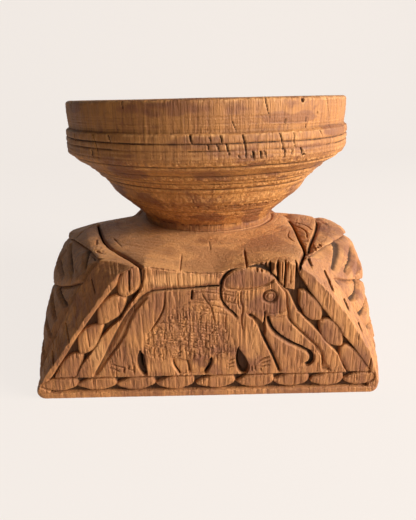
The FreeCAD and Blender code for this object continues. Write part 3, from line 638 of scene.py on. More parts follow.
def smooth_line(points, parts=5):
    """More points along a smooth curve through the given ones."""
    given = np.array(points, dtype=float)
    if len(given) < 3:
        return given
    padded = np.concatenate([[2 * given[0] - given[1]], given, [2 * given[-1] - given[-2]]])
    out = []
    for number in range(len(given) - 1):
        a, b, c, d = padded[number:number + 4]
        for share in np.arange(parts) / parts:
            out.append(0.5 * (2 * b + (c - a) * share + (2 * a - 5 * b + 4 * c - d) * share**2
                              + (3 * b - a - 3 * c + d) * share**3))
    out.append(given[-1])
    return np.array(out)


def line_at(line, places):
    """The second value of a line of pairs, at places along the first."""
    return np.interp(places, *np.array(line).T)


def line_distance(u, v, points, closed=False):
    """Distance to a line of points, which side each place lies on (left is 1) and the share along it."""
    rows = np.asarray(points, dtype=float)
    if closed:
        rows = np.concatenate([rows, rows[:1]])
    lengths = np.hypot(*np.diff(rows, axis=0).T)
    run = np.concatenate([[0], np.cumsum(lengths)]) / lengths.sum()
    best = np.full(u.shape, 1e6, dtype=np.float32)
    side = np.ones(u.shape, dtype=np.float32)
    along = np.zeros(u.shape, dtype=np.float32)
    for number in range(len(rows) - 1):
        (ax, ay), (bx, by) = rows[number], rows[number + 1]
        gap, share = segment_distance(u, v, (ax, ay), (bx, by))
        nearer = gap < best
        best = np.where(nearer, gap, best)
        turn = (bx - ax) * (v - ay) - (by - ay) * (u - ax)
        side = np.where(nearer, np.where(turn > 0, 1, -1), side)
        along = np.where(nearer, run[number] + share * (run[number + 1] - run[number]), along)
    return best, side, along


def inside_distance(u, v, points):
    """Distance from the border of a closed outline, above zero inside it."""
    rows = np.asarray(points, dtype=float)
    gap = line_distance(u, v, rows, closed=True)[0]
    inside = np.zeros(u.shape, dtype=bool)
    for (ax, ay), (bx, by) in zip(rows, np.roll(rows, -1, axis=0)):
        if ay == by:
            continue
        crosses = (ay > v) != (by > v)
        inside ^= crosses & (u < (bx - ax) * (v - ay) / (by - ay) + ax)
    return np.where(inside, gap, -gap)


class Relief:
    """Depths over one carved face: a ground, cuts into it and pieces left standing."""

    def __init__(self, u, v, ground=0):
        self.u, self.v = u, v
        self.ground = np.full(u.shape, ground, dtype=np.float32)
        self.cut = np.zeros(u.shape, dtype=np.float32)

    def bounds(self, points, margin):
        rows = np.asarray(points, dtype=float)
        low, high = rows.min(axis=0) - margin, rows.max(axis=0) + margin
        return (self.u > low[0]) & (self.u < high[0]) & (self.v > low[1]) & (self.v < high[1])

    def within(self, points, margin, smooth=False):
        """The part of the face round an outline, and how far inside the outline its places lie."""
        outline = smooth_line(list(points) + [points[0]])[:-1] if smooth else points
        near = self.bounds(outline, margin)
        return near, inside_distance(self.u[near], self.v[near], outline)

    def deepen(self, near, depth):
        self.cut[near] = np.maximum(self.cut[near], depth)

    def groove(self, points, width, depth, slant=0, cut_side=1, fade=0.1, smooth=True):
        """A cut line. With a slant, one side is a steep wall and the other runs out over that width."""
        line = smooth_line(points) if smooth else np.array(points, dtype=float)
        near = self.bounds(line, max(width, slant) + 1)
        gap, side, along = line_distance(self.u[near], self.v[near], line)
        ends = smooth_step(0, fade, along) * smooth_step(0, fade, 1 - along) if fade else 1
        cut = depth * np.minimum(1, np.clip(1 - gap / width, 0, 1) * 1.5)
        if slant:
            run = np.clip(1 - gap / slant, 0, 1)
            cut = np.where(side * cut_side > 0, np.maximum(cut, depth * run**1.3), cut)
        self.deepen(near, cut * (0.25 + 0.75 * ends))

    def level(self, points, depth, wall):
        """Sets the ground inside an outline to one depth, over a wall of the given width."""
        near, inside = self.within(points, wall + 1)
        share = smooth_step(-wall / 2, wall / 2, inside)
        self.ground[near] = self.ground[near] * (1 - share) + depth * share

    def dome(self, points, depth, rim, edge, wall, smooth=True):
        """A pillow that stands in the ground: its top at one depth, its rim at another."""
        near, inside = self.within(points, wall + 1, smooth)
        crown = np.sqrt(1 - (1 - np.clip(inside / edge, 0, 1)) ** 2)
        share = smooth_step(-wall, 0, inside)
        self.ground[near] = self.ground[near] * (1 - share) + (rim + (depth - rim) * crown) * share
        self.cut[near] *= 1 - share

    def hatch(self, points, depth, spread, scale, seed):
        """Broken upright strokes, as left by rot and old tool marks, inside an outline."""
        near, inside = self.within(points, 4)
        marks = layered((self.u[near], self.v[near]), (scale, scale * spread), seed, 3)
        self.deepen(near, depth * smooth_step(0, 5, inside) * smooth_step(0.50, 0.72, marks))

    def wrinkles(self, points, depth, spread, thin, seed):
        """Thin wandering lines inside an outline."""
        near, inside = self.within(points, 4)
        places = self.u[near], self.v[near]
        line = smooth_step(thin, thin * 0.25, np.abs(layered(places, spread, seed, 3) - 0.5))
        broken = smooth_step(0.42, 0.56, layered(places, (9, 7), seed + 1, 2))
        self.deepen(near, depth * smooth_step(0, 6, inside) * line * (0.25 + 0.75 * broken))

    def strokes(self, starts, width, depth, fade):
        """Short straight cuts: place across and up, and how far each one runs across and up."""
        for x, z, dx, dz in starts:
            self.groove([(x, z), (x + dx, z + dz)], width, depth, fade=fade)


def carve_bands(relief, seed):
    """The two slanting bands of tiles, and the grounds between them and the elephant."""
    relief.level(FRAME_LEFT + STRIP_OUT_LEFT[::-1], 5.2, 1)
    relief.level(FRAME_RIGHT + STRIP_OUT_RIGHT[::-1], 5.4, 1)
    for tile in TILES:
        relief.dome(tile, 0.8, 2.3, 3.6, 0.8)
    relief.groove([(-59.8, 121), (-61.2, 102)], 0.9, 3.2)
    relief.groove([(-50.4, 123.4), (-51.3, 107.5)], 0.9, 3.6)

    relief.level(STRIP_IN_LEFT + RUMP_RIDGE[::-1], 1.9, 1.4)
    relief.groove(STRIP_IN_LEFT, 1.2, 2.6, slant=4.5, fade=0.05)
    relief.groove([(x - 1.6, z) for x, z in RUMP_RIDGE], 0.9, 1.6, slant=2.4, cut_side=-1)
    beside_trunk = [(66, 99), (67.6, 76), (77.1, 63.8), (87, 53.9), (94.1, 46.2), (98.4, 38.2),
                    (99.8, 24), (108, 23)] + STRIP_IN_RIGHT[::-1][1:]
    relief.level(beside_trunk, 2.7, 1.4)
    relief.hatch(beside_trunk, 2.4, 4, 2.4, seed + 41)


def carve_back(relief):
    """The plain band above the back, with the carved outline of the back and the rump under it."""
    back = [(-57.5, 90.6), (-50.9, 97.3), (-44.5, 101), (-38.6, 102.3), (-24.9, 103), (-10.4, 103.8),
            (3, 104.8), (12.8, 105.6)]
    relief.groove(back, 1.2, 2.7, slant=3.6, fade=0.06)
    relief.groove([(-9.5, 104.2), (2, 105), (12.8, 105.6)], 1.1, 4)
    relief.groove([(-46, 122.8), (-30, 120.2), (-8, 117.2), (10, 116.8), (25, 118.8)], 0.7, 1.8)
    relief.groove([(-48, 121.5), (-49.6, 112), (-53.5, 103), (-59.5, 94)], 1, 2.4, slant=2.6,
                  cut_side=-1, fade=0.05)


def carve_head(relief):
    """A deep curved cut round the head, the cap, ear, eye, cheek and mouth."""
    crown = [(13, 106.5), (14.2, 111), (17.4, 115.8), (24, 119.9), (33.4, 121.6), (42.8, 120.9),
             (50.5, 117.8), (55, 113.9), (60.1, 108), (64.7, 103), (69.5, 99.4)]
    relief.groove(crown, 1.4, 4.2, slant=3, fade=0)
    relief.dome([(16.2, 104.4), (16.6, 110.7), (20, 114.9), (27.9, 118.4), (36, 119.9), (44, 119.2),
                 (51.7, 114.7), (55, 110.6), (52.7, 107.6), (43.2, 104.5), (33.6, 102.6), (23.2, 102.6)],
                0.35, 1.6, 4, 0.8)
    relief.groove([(17, 103.7), (24, 102), (33.6, 101.8), (43.2, 103.6), (52.7, 107.2), (56, 110.2)], 0.9, 1.9)
    relief.groove([(13.3, 107), (12.6, 99.5), (13.9, 92), (18.3, 85.4), (23.2, 80.8), (26, 76.5)],
                  1.1, 3.6, slant=2.6, cut_side=-1, fade=0.06)
    relief.groove([(15.4, 100.3), (16.6, 92.6), (19.6, 90), (23.4, 92.2), (24.5, 97), (24.2, 101.6)], 0.8, 1)
    relief.groove([(29, 102), (28.6, 93), (30.4, 85), (29.4, 74), (31, 63)], 0.8, 1.8)
    relief.groove([(26, 100), (26.4, 90), (28, 84)], 0.7, 1.1)
    eye = np.hypot(relief.u - 52.6, relief.v - 95.2)
    for radius, width, depth in ((5.2, 1.1, 2.6), (2.9, 0.7, 1.8)):
        relief.deepen(..., depth * np.exp(-(((eye - radius) / width) ** 2)))
    face = [(56, 111), (61.4, 103.4), (65.6, 97), (66.2, 87.6), (68.4, 80), (68.6, 75.6)]
    relief.groove(face, 1, 1.5, slant=2.2, fade=0.05)
    relief.groove([(49.2, 80.4), (54, 79.8), (60, 80.6), (67, 83.2)], 0.7, 1)
    relief.groove([(52, 76.6), (57, 76.2), (62, 76.8), (67.8, 78.4)], 0.7, 1.1)
    relief.groove([(48.7, 82.4), (48.9, 76), (48.2, 70.2), (49.4, 63.5)], 1, 4, fade=0.12)


def carve_trunk(relief):
    """The trunk, with a deep hollow inside its curl."""
    trunk_inside = [(51.2, 78.6), (52.2, 74.2), (55.4, 66.4), (60.4, 60.6), (67.6, 55), (75.6, 50.2),
                    (83.6, 45.8), (89.2, 41.6), (91.4, 36.6), (89.6, 31.4), (84, 28.4)]
    relief.groove(trunk_inside, 1.3, 4.3, slant=3.6, cut_side=-1, fade=0.05)
    relief.groove([(84.2, 45), (88.4, 41.4), (90, 36.8), (88, 32.2), (83, 29.6)], 2.3, 4.6, fade=0.25)
    relief.groove([(67.6, 76.6), (71.2, 71), (77.4, 64.2), (87.2, 54.4), (94.4, 46.6), (98.8, 38.8),
                   (100.2, 25)], 1, 2.3, slant=2.4, fade=0.06)


def carve_forelegs(relief):
    """The sharp cut in front of the leg, raised ground before it, the dark wedge between and the toes."""
    leg = [(34.6, 79.6), (40, 75.4), (44.4, 67.6), (47, 60.6), (50.8, 51.8), (56.9, 38.6), (63, 22.6)]
    relief.groove(leg, 1.4, 4.4, slant=3, fade=0.04)
    relief.dome([(38, 78.2), (45, 72.4), (48.4, 66.5), (48.6, 60.4), (45, 66.5), (41, 74)], 4.4, 4.4, 1, 1.2)
    relief.dome([(27.2, 46.4), (25.4, 38), (26.4, 28), (29.4, 22.6), (33.8, 22.4), (35.8, 29),
                 (33, 37), (30, 42)], 6.2, 5, 1.5, 1)
    relief.groove([(27.4, 49), (26, 41), (26.4, 31), (29.8, 22.6)], 0.9, 3)
    relief.strokes(((18, 31.5, 6, 2.2), (17.6, 28.4, 6.2, 1.4), (18.4, 35, 5, 2.6)), 0.8, 1.4, 0.2)
    relief.strokes(((44, 34.6, 9.6, 4.4), (45.2, 31.6, 9.2, 3.4), (44.6, 28.4, 9.8, 2.2),
                    (38.6, 29.8, 0.4, -5.2), (41.6, 30, 0.3, -5), (46.6, 27, 0.2, -2.6)), 0.8, 1.7, 0.15)


def carve_hind_legs(relief):
    """The wedge between the hind legs, the belly and the toes."""
    relief.dome([(-56.6, 46.6), (-59.4, 38), (-58.6, 29), (-55, 22.8), (-52.6, 23.4), (-53.2, 32),
                 (-54.2, 41)], 5.6, 4.6, 1.5, 1)
    relief.groove([(-55.9, 44), (-56.6, 36), (-55.4, 27)], 0.7, 6.6, fade=0.2)
    belly = [(-29.4, 39.4), (-18, 36.6), (-6, 36.6), (4.6, 38.4), (1.6, 30), (-0.8, 22.6), (-24.8, 22.6),
             (-27.6, 30)]
    relief.level(belly, 2.3, 1)
    relief.groove([(-29, 37), (-28.2, 31), (-26, 26.5), (-23.4, 22)], 1.1, 3, slant=1.8)
    relief.groove([(-17.2, 36.4), (-15.8, 30), (-15.4, 23.4)], 1.4, 2.8, slant=2.4)
    relief.groove([(4.4, 38.2), (2.8, 31), (-0.6, 25), (-1.4, 22.6)], 1.3, 3.8, slant=2.4, cut_side=-1)
    relief.groove([(-0.4, 57), (-0.8, 50), (-0.2, 46)], 0.9, 2.4, fade=0.2)
    relief.strokes(((-82, 33.8, 11, -3.4), (-84, 30.6, 8, -3.6), (-71, 31, -1.4, -5.6),
                    (-67.2, 33, -0.6, -5), (-66.6, 28, 3.6, -0.4), (-62.6, 32.6, -0.8, -8)), 0.9, 1.9, 0.15)


def carve_hide(relief, chance, seed):
    """The cloth on the back, and the folds and wrinkles of the hide."""
    relief.groove([(-10.4, 102.6), (-10.9, 98), (-11.2, 93.6)], 1.2, 3.6, fade=0.12)
    relief.groove([(-3, 102.6), (-1.6, 97), (1.2, 91.6), (4.6, 86), (6.2, 79), (7.4, 70)], 0.8, 2.2,
                  fade=0.25)
    relief.groove([(-32.6, 100.6), (-33.2, 92), (-35.2, 84.4), (-39.6, 75.8), (-45, 67.8), (-49, 62.6)],
                  0.9, 2.3, fade=0.18)
    for number in range(16):
        low = 46 + number * 3.4 + chance.uniform(-1.5, 1.5)
        left = -50 + 0.55 * (low - 46) + chance.uniform(-4, 4)
        dip = chance.uniform(3, 7)
        points = [(left, low), (left + 18, low + dip), (left + 38, low + dip * 0.6), (left + 58, low - 2)]
        relief.groove([(x + chance.uniform(-2, 2), z + chance.uniform(-1.5, 1.5)) for x, z in points],
                      0.8, chance.uniform(0.5, 1.1), fade=0.3)
    hide = [(-60, 40), (-52, 62), (-40, 78), (-20, 90), (4, 92), (16, 76), (28, 56), (24, 40), (10, 34),
            (-30, 34)]
    relief.wrinkles(hide, 1.5, (11, 5), 0.05, seed + 43)
    relief.wrinkles(hide, 1.2, (6.5, 3.6), 0.07, seed + 44)
    relief.hatch(hide, 1, 7, 1.1, seed + 47)


def carve_row(relief, chance):
    """The ground line, the row of beads below it and the bottom rail."""
    for left, left_top, right, depth in ((-PAST_FACE, -PAST_FACE, PAST_FACE, 5.6), (141, 143, PAST_FACE, 0.8),
                                         (-PAST_FACE, -PAST_FACE, -138.5, 0.8)):
        relief.level([(left, RAIL), (right, RAIL), (right, STRIP_LOW), (left_top, STRIP_LOW)], depth, 0.9)
    relief.cut[relief.v < STRIP_LOW + 0.4] = 0
    for middle, gap in zip(ROW_MIDDLES, np.append(np.diff(ROW_MIDDLES), LAST_ROW_GAP)):
        stretch = min(1, (gap + 0.6) / 34)
        wobble = chance.uniform(-0.7, 0.7, (len(ROW_BEAD), 2)) * [1, 0.6]
        outline = [(middle + x * stretch + wx, z + (wz if z < 20 else 0))
                   for (x, z), (wx, wz) in zip(ROW_BEAD, wobble)]
        relief.dome(outline, 1, 2.6, 3.4, 0.8)
    relief.groove([(-138, STRIP_LOW), (-60, STRIP_LOW - 0.4), (0, STRIP_LOW), (141, STRIP_LOW + 0.2)],
                  0.9, 1.7, fade=0.02)


def carve_rotted_corner(relief, chance, seed):
    """The rotted corner above the trunk: blocks left standing between deep upright cracks."""
    corner = [(38, 122.6), (44, 121.6), (51, 118.4), (56, 113.6), (61, 107.6), (65, 103.4),
              (72.4, 101), (73.4, 124), (73, 130), (38, 130)]
    relief.level(corner, 3.6, 1.2)
    for block in WORN_BLOCKS:
        relief.dome(block, 0.8, 1.5, 1.4, 0.7, smooth=False)
    relief.hatch(corner, 2.2, 9, 1.5, seed + 45)
    for x in (52, 58.3, 64, 72.6, 48.4, 44.6, 41.2):
        foot = (x + chance.uniform(-0.3, 0.7), 103.5 + abs(x - 66) * 0.75)
        relief.groove([(x, 127), (x + 0.4, 118), foot], 0.8, 4.6 if x > 50 else 2.6)
    relief.dome([(72.8, 99.5), (74, 100), (75.4, 99), (76, 87), (80.2, 79.6), (76.4, 81.4), (67.2, 100.4)],
                5.4, 5.4, 1, 1, smooth=False)


def weathered(relief, chance, seed):
    """The panel's depth with its cuts, and upright grain and cracks over the whole of it."""
    u, v = relief.u, relief.v
    depth = relief.ground + relief.cut
    for _ in range(120):
        x, z = chance.uniform(-142, 142), chance.uniform(2, 116)
        long, wide = chance.uniform(4, 20), chance.uniform(0.4, 0.75)
        gap, share = segment_distance(u, v, (x, z), (x + chance.uniform(-0.5, 0.5), z + long))
        depth = depth + chance.uniform(0.5, 1.7) * np.clip(1 - gap / wide, 0, 1) * (1 - share**4)
    depth = depth + 0.55 * smooth_step(0.52, 0.78, layered((u, v), (1.25, 15), seed + 51, 3))
    for strength, size, offset, layers in ((0.35, (3.4, 26), 52, 2), (1.1, (42, 30), 53, 2),
                                           (0.35, (4.5, 4.5), 54, 3)):
        depth = depth + strength * (layered((u, v), size, seed + offset, layers) - 0.5)
    depth = np.maximum(depth, SKIN)
    return np.where(v < RAIL, 0.05 + (depth - SKIN) * (0.25 + 0.75 * smooth_step(1, RAIL, v)), depth)


def front_relief(u, v, seed):
    """The elephant panel: depth behind the face and depth of the cuts, for places across and up."""
    chance = np.random.default_rng(seed)
    relief = Relief(u, v, 0.5)
    carve_bands(relief, seed)
    carve_back(relief)
    carve_head(relief)
    carve_trunk(relief)
    carve_forelegs(relief)
    carve_hind_legs(relief)
    carve_hide(relief, chance, seed)
    carve_row(relief, chance)
    carve_rotted_corner(relief, chance, seed)
    return weathered(relief, chance, seed), relief.cut


def bevel_depth(z):
    """How far back the panel's bevels reach at each height."""
    return line_at(BEVEL_DEPTHS, z)


# Slits in the bevels: middle across and up, width, length
BEVEL_SLITS = [
    (83.4, 124.4, 1.7, 5), (85.6, 119.2, 1.3, 2.6), (100.6, 106.4, 1, 9), (103.6, 99, 1, 5), (118, 82, 1, 8),
    (131.4, 61, 0.9, 7), (-92, 104, 0.8, 8), (-118, 62, 0.8, 12), (-133, 38, 0.7, 8),
]
# How steeply the face falls away past the bevels
BEYOND_SLOPE = 60


def face_depth(u, v, seed):
    """Depth behind the face over one whole end of the block: the panel, its bevels and nothing beyond."""
    left, right = line_at(FACE_LEFT, v), line_at(FACE_RIGHT, v)
    bevel_left, bevel_right = line_at(BEVEL_LEFT, v), line_at(BEVEL_RIGHT, v)
    panel, cut = front_relief(u, v, seed)
    wavy = 0.9 * (layered((u, v), (5, 7), seed + 61, 3) - 0.5)
    past = np.maximum((u - right + wavy) / np.maximum(bevel_right - right, 1.5),
                      (-u - left + wavy) / np.maximum(bevel_left - left, 1.5))
    deep = bevel_depth(v)
    marks = layered((u + 0.35 * v, v), (1.6, 17), seed + 62, 3)
    tooled = 1.2 * (layered((u * 0.8 + v * 0.6, v * 0.8 - u * 0.6), (16, 5), seed + 63, 2) - 0.5)
    bevel = deep * past + 0.7 * smooth_step(0.5, 0.75, marks) + tooled * np.clip(past, 0, 1)
    for x, z, width, length in BEVEL_SLITS:
        gap = segment_distance(u, v, (x - 0.2 * length, z + length / 2), (x + 0.25 * length, z - length / 2))[0]
        slit = 3.2 * np.clip(1.25 - gap / width, 0, 1)
        bevel = bevel + slit
        cut = np.maximum(cut, slit)
    blend = smooth_step(-0.02, 0.03, past)
    depth = panel * (1 - blend) + np.maximum(bevel, 0.3) * blend
    return np.where(past > 1, deep + (past - 1) * BEYOND_SLOPE, depth), cut


# Leaves on the sides, on the quarters right and left of the elephant: where they start to fall in towards
# the corner, by height, how sharply they do, and where the crevice at the corner lies

LEAF_TOP = 106
LEAF_START = {
    "right": [(0, 150), (15, 142), (30, 132), (41, 122), (54, 110), (66, 100), (80, 86), (93, 66), (106, 38),
              (126, 22)],
    "left": [(0, 150), (15, 136), (30, 124), (41, 114), (54, 104), (66, 92), (80, 74), (93, 50), (106, 16),
             (126, 5)],
}
LEAF_POWER = {"right": 1.6, "left": 1.25}
LEAF_CREVICE = {"right": BEVEL_RIGHT, "left": BEVEL_LEFT}
# The lower borders of the middle and upper rows of leaves: distance from the block's middle and height
LOW_BORDER = {
    "right": [(0, 78), (60, 78), (85, 80), (93, 83), (110, 90), (122, 95), (133, 102)],
    "left": [(0, 78), (60, 78), (85, 80), (100, 85), (115, 92), (126, 99), (136, 105)],
}
HIGH_BORDER = [(0, 107), (25, 108), (50, 114), (83, 118), (106, 120.5), (135, 122)]
LEAF_HEAD = 124.5
# Flutes cut into the leaves: points, width, depth
FLUTES = {
    "right": [
        ([(78, 118), (85.8, 116.6), (105.2, 113), (120.7, 109.6), (130.5, 106.8)], 2.6, 5.4),
        ([(60, 109), (77.7, 105.1), (103, 102.3), (120.3, 100)], 2.1, 4.4),
        ([(70, 97.5), (88.9, 94.9), (106.8, 90.7)], 1.8, 3.4),
        ([(129, 99.5), (131.4, 94.8), (134.4, 87.5)], 1.7, 4),
        ([(98, 89.5), (113, 85.3), (122.5, 81.6), (133.9, 80.1)], 2.3, 4.8),
        ([(98, 71.5), (118.1, 67.7), (136.1, 65)], 2.3, 4.6),
        ([(108, 58), (126.4, 53.5), (139, 52)], 2, 3.6),
        ([(118, 44), (128, 41), (138, 36)], 1.6, 2.8),
        ([(128, 29), (139, 24)], 1.3, 2.2),
    ],
    "left": [
        ([(44, 111.5), (54.6, 109.3), (75.1, 106), (93.3, 104.3), (114, 101.2)], 1.7, 4.4),
        ([(92, 119.6), (102.6, 117.9), (113.7, 115), (127.3, 111)], 1.9, 4),
        ([(54, 97.2), (69, 96.2), (86.1, 95), (98.6, 94)], 1.6, 3.4),
        ([(90, 83), (103.5, 81.4), (115.5, 80.2), (130.6, 79.4)], 1.8, 4.2),
        ([(88, 76), (104, 70.7), (113.5, 67.8), (127.6, 64.2)], 1.7, 3.6),
        ([(104, 57), (116, 54.5), (131, 50)], 1.6, 3),
        ([(114, 42), (124, 38), (134, 33)], 1.4, 2.4),
    ],
}
FLUTE_SPREAD = 1.5
# Leaves in the middle of the side: lowest and highest place, spread
FANS = [(6, 76, 1), (80, 106, 0.8)]


def fan(relief, y, low, high, spread):
    """Five creases that fan out from the foot of one row of leaves, over both quarters."""
    for number in range(-2, 3):
        foot, tip = number * 9 * spread, number * 22 * spread
        line = [(foot, low + 3), ((foot + tip) / 2 * 0.9, (low + high) / 2), (tip, high - 4)]
        near = relief.bounds([(abs(a), b) for a, b in line], 6)
        gap, _, along = line_distance(y[near], relief.v[near], smooth_line(line))
        ends = smooth_step(0, 0.2, along) * smooth_step(0, 0.2, 1 - along)
        relief.deepen(near, 2.4 * ends * np.clip(1 - gap / 2.3, 0, 1))


def leaf_cuts(y, z, kind):
    """The grooves between and on the leaves of one quarter."""
    relief = Relief(np.abs(y), z)
    relief.groove(LOW_BORDER[kind], 1.2, 2.8, slant=3, cut_side=-1, fade=0, smooth=False)
    relief.groove(HIGH_BORDER, 1.5, 3.6, slant=4, cut_side=-1, fade=0, smooth=False)
    for points, width, depth in FLUTES[kind]:
        relief.groove(points, width * FLUTE_SPREAD, depth, fade=0.14)
    for low, high, spread in FANS:
        fan(relief, y, low, high, spread)
    relief.groove([(56, 80), (60, 92), (55, 106)], 1.2, 2.8, slant=3, fade=0.05)
    relief.groove([(50, 4), (66, 30), (70, 55), (62, 77)], 1.3, 2.9, slant=3.4, fade=0.05)
    return relief.cut


def leaf_side(y, z, kind, seed):
    """How far out the leaves reach on one quarter of the block, for places back from the middle and up."""
    away = np.abs(y)
    ahead = BEVEL_DEPTH - bevel_depth(z)
    crevice = line_at(LEAF_CREVICE[kind], z) - 1
    rise = crevice - 6 + 2.2 * (133.4 + ahead - away)
    # The unseen rear leaves lie lower, so that nothing of them shows over the front ones
    z = z + 14 * smooth_step(5, 70, y)
    start = np.minimum(line_at(LEAF_START[kind], z), 131 + ahead)
    curl = 28 * (1 - np.sqrt(np.clip(1 - ((z - LEAF_TOP) / 17.5) ** 2, 0, 1)))
    out = np.where(z > LEAF_TOP, 150 - curl, 152)
    share = np.clip((away - start) / (135 + ahead - start), 0, 1.06)
    reach = out - (out - crevice) * share ** LEAF_POWER[kind]

    low, high = line_at(LOW_BORDER[kind], away), line_at(HIGH_BORDER, away)
    bulge = np.zeros_like(reach)
    for foot, head, swell in ((0 * low, low, 2.8), (low, high, 3.2), (high, 0 * high + LEAF_HEAD, 1.6)):
        up = (z - foot) / (head - foot)
        hump = np.where(up < 0.35, 1 - (1 - np.clip(up / 0.35, 0, 1)) ** 2, 1 - ((up - 0.35) / 0.65) ** 2)
        bulge = np.where((up >= 0) & (up <= 1), swell * hump - 1.3, bulge)

    cut = leaf_cuts(y, z, kind)
    grain = 0.7 * smooth_step(0.5, 0.76, layered((y, z), (1.5, 17), seed + 71, 3))
    uneven = 1.3 * (layered((y, z), (24, 20), seed + 72, 3) - 0.5) + 0.2
    reach = reach + bulge - cut - grain - uneven
    soft = np.clip(1 - np.abs(reach - rise) / 3, 0, 1)
    return np.minimum(np.minimum(reach, rise) - soft * soft * 0.75, HALF - 0.4), cut


# Grooves on the block's top, seen from above: the tongue's edges, then the creases between the leaves

TONGUE_LEFT = [(-114, -22), (-112.1, -28.9), (-104.8, -51.4), (-96.6, -75.2), (-87.9, -93.9),
               (-79.8, -107), (-63.7, -129.8), (-48.6, -153.5)]
TONGUE_RIGHT = [(88.6, -4), (89.8, -14), (90.6, -36.8), (90, -65.6), (88.5, -91), (86.7, -116.4),
                (80.7, -136.2), (74.6, -153.5)]
TOP_CREASES = [
    ([(121, -4), (118, -30), (110, -58), (100, -86), (93, -106), (88, -124)], 1.5, 3.8, 4, 1),
    ([(-131, -66), (-117, -87), (-108.5, -99.4), (-99, -113), (-91, -127)], 1.5, 3.8, 4, -1),
    ([(-119, -4), (-123, -34), (-131, -66)], 1.4, 3, 3, -1),
]
# Scored tool marks where leaf, tongue and neck meet, and the crack in the tongue: points, width, depth
TOP_SCORES = [
    ([(34.4, -112), (33.9, -137), (33, -154)], 0.8, 2.6),
    ([(92, -40), (99, -62), (96, -84)], 0.9, 1.6),
    ([(93, -30), (103, -44), (106, -62)], 0.8, 1.3),
    ([(94, -92), (97, -104), (92, -118)], 1, 1.9),
    ([(84, -60), (79, -78), (82, -96)], 0.7, 1.1),
    ([(-88, -72), (-80, -88), (-74, -100)], 0.8, 1.2),
    ([(-20, -118), (-19.6, -136), (-19.8, -153)], 0.6, 0.9),
    ([(4, -92), (5, -110)], 0.6, 0.7),
    ([(-104, -70), (-99, -92)], 0.9, 1.7),
    ([(-96, -108), (-88, -118)], 1.2, 2.4),
]
# The ridge that closes the view over the block beside the neck: places outwards and their heights
RIDGE_RIGHT = [(72, 126.5), (90, 125.2), (101, 124.2), (112, 122.4), (120, 120.6), (124, 117.8), (127.5, 119),
               (134, 118.2), (141, 115.8), (148, 112), (153, 106)]
RIDGE_LEFT = [(68, 126.5), (80, 125.2), (93, 123.2), (106, 121.2), (117, 119.2), (126, 117.2), (133, 115.2),
              (141, 113.2), (149, 110.6), (153, 106)]


def ridge_cap(x, y):
    """The greatest height beside the neck: it falls off behind the ridge, clear of the rear tongue."""
    level = np.where(x > 0, line_at(RIDGE_RIGHT, x), line_at(RIDGE_LEFT, -x))
    on_tongue = 40 * smooth_step(80, 66, np.abs(x))
    return level + on_tongue + 0.10 * np.maximum(-y, 0) - 0.29 * np.maximum(y, 0)


def top_cuts(x, y, seed):
    """Depth of the grooves and tool marks on the front half of the block's top."""
    relief = Relief(x, y)
    relief.groove(TONGUE_LEFT, 1.3, 5, slant=2.4, fade=0)
    relief.groove(TONGUE_RIGHT, 1.3, 5, slant=2.4, cut_side=-1, fade=0)
    relief.dome([(86, -8), (94.5, -9), (93, -17.5), (89.5, -22), (86.5, -16)], 8, 7, 2, 1.4)
    for points, width, depth, slant, cut_side in TOP_CREASES:
        relief.groove(points, width, depth, slant, cut_side, fade=0.02)
    for points, width, depth in TOP_SCORES:
        relief.groove(points, width, depth, fade=0.2)
    relief.hatch([(90, -98), (106, -90), (110, -106), (99, -157), (79, -157), (84, -112)],
                 1.3, 5, 1.5, seed + 84)
    relief.hatch([(-108, -80), (-112, -90), (-100, -112), (-84, -128), (-76, -120), (-92, -100)],
                 0.9, 5, 1.5, seed + 85)
    return relief.cut


def top_height(x, y, seed, cap):
    """Height of the top over the front half of the block, and depth of its cuts."""
    out = np.hypot(x - SEAT_AXIS, y)
    drop = 2.4 * smooth_step(66, 122, out)
    forward = smooth_step(84, 153, -y) ** 1.1
    front = np.minimum(line_at(TOP_LINE, x), SHOULDER - drop * 0.2)
    height = (SHOULDER - drop) * (1 - forward) + front * forward
    # The tongue is a little lower than the leaves beside it and rounds down into the creases
    left_gap, left_side, _ = line_distance(x, y, smooth_line(TONGUE_LEFT))
    right_gap, right_side, _ = line_distance(x, y, smooth_line(TONGUE_RIGHT))
    on_tongue = (left_side > 0) & (right_side < 0)
    near_edge = np.clip(1 - np.minimum(left_gap, right_gap) / 11, 0, 1) ** 2
    scratched = 0.6 + 0.8 * layered((x * 0.9 + y * 0.4, y * 0.9 - x * 0.4), (2, 15), seed + 83, 3)
    height = height - np.where(on_tongue, 0.5 + 2 * near_edge, 0.7 + 2.6 * near_edge * scratched)
    cut = top_cuts(x, y, seed)
    rightward = smooth_step(-0.2, 0.75, (x - SEAT_AXIS) / np.maximum(out, 1))
    crease = (0.5 + 1.6 * rightward) * np.exp(-(((out - 69.8) / 1.2) ** 2))
    scores = layered((out, np.arctan2(x - SEAT_AXIS, -y) * 80), (1.7, 34), seed + 81, 3)
    uneven = layered((x, y), (26, 26), seed + 82, 3) - 0.5
    height = np.minimum(height, cap) - cut - crease - 0.35 * smooth_step(0.50, 0.78, scores) - uneven
    seat = smooth_step(72, 66, out)
    return np.minimum(height * (1 - seat) + SHOULDER * seat, SHOULDER - JOINT_GAP), cut


def grid_steps(low, high, fine, coarse, band):
    """Places along one axis: fine steps within a band at each end, coarser ones between."""
    first = np.arange(low, low + band, fine)
    last = high - (first - low)[::-1]
    count = int(np.ceil((last[0] - first[-1]) / coarse))
    return np.concatenate([first, np.linspace(first[-1], last[0], count + 1)[1:-1], last])


# The corners of a cell of the grid, and the pairs of them that an edge joins
CORNERS = [(a, b, c) for a in (0, 1) for b in (0, 1) for c in (0, 1)]
EDGES = [(s, e) for s in range(8) for e in range(s + 1, 8)
         if sum(p != q for p, q in zip(CORNERS[s], CORNERS[e])) == 1]


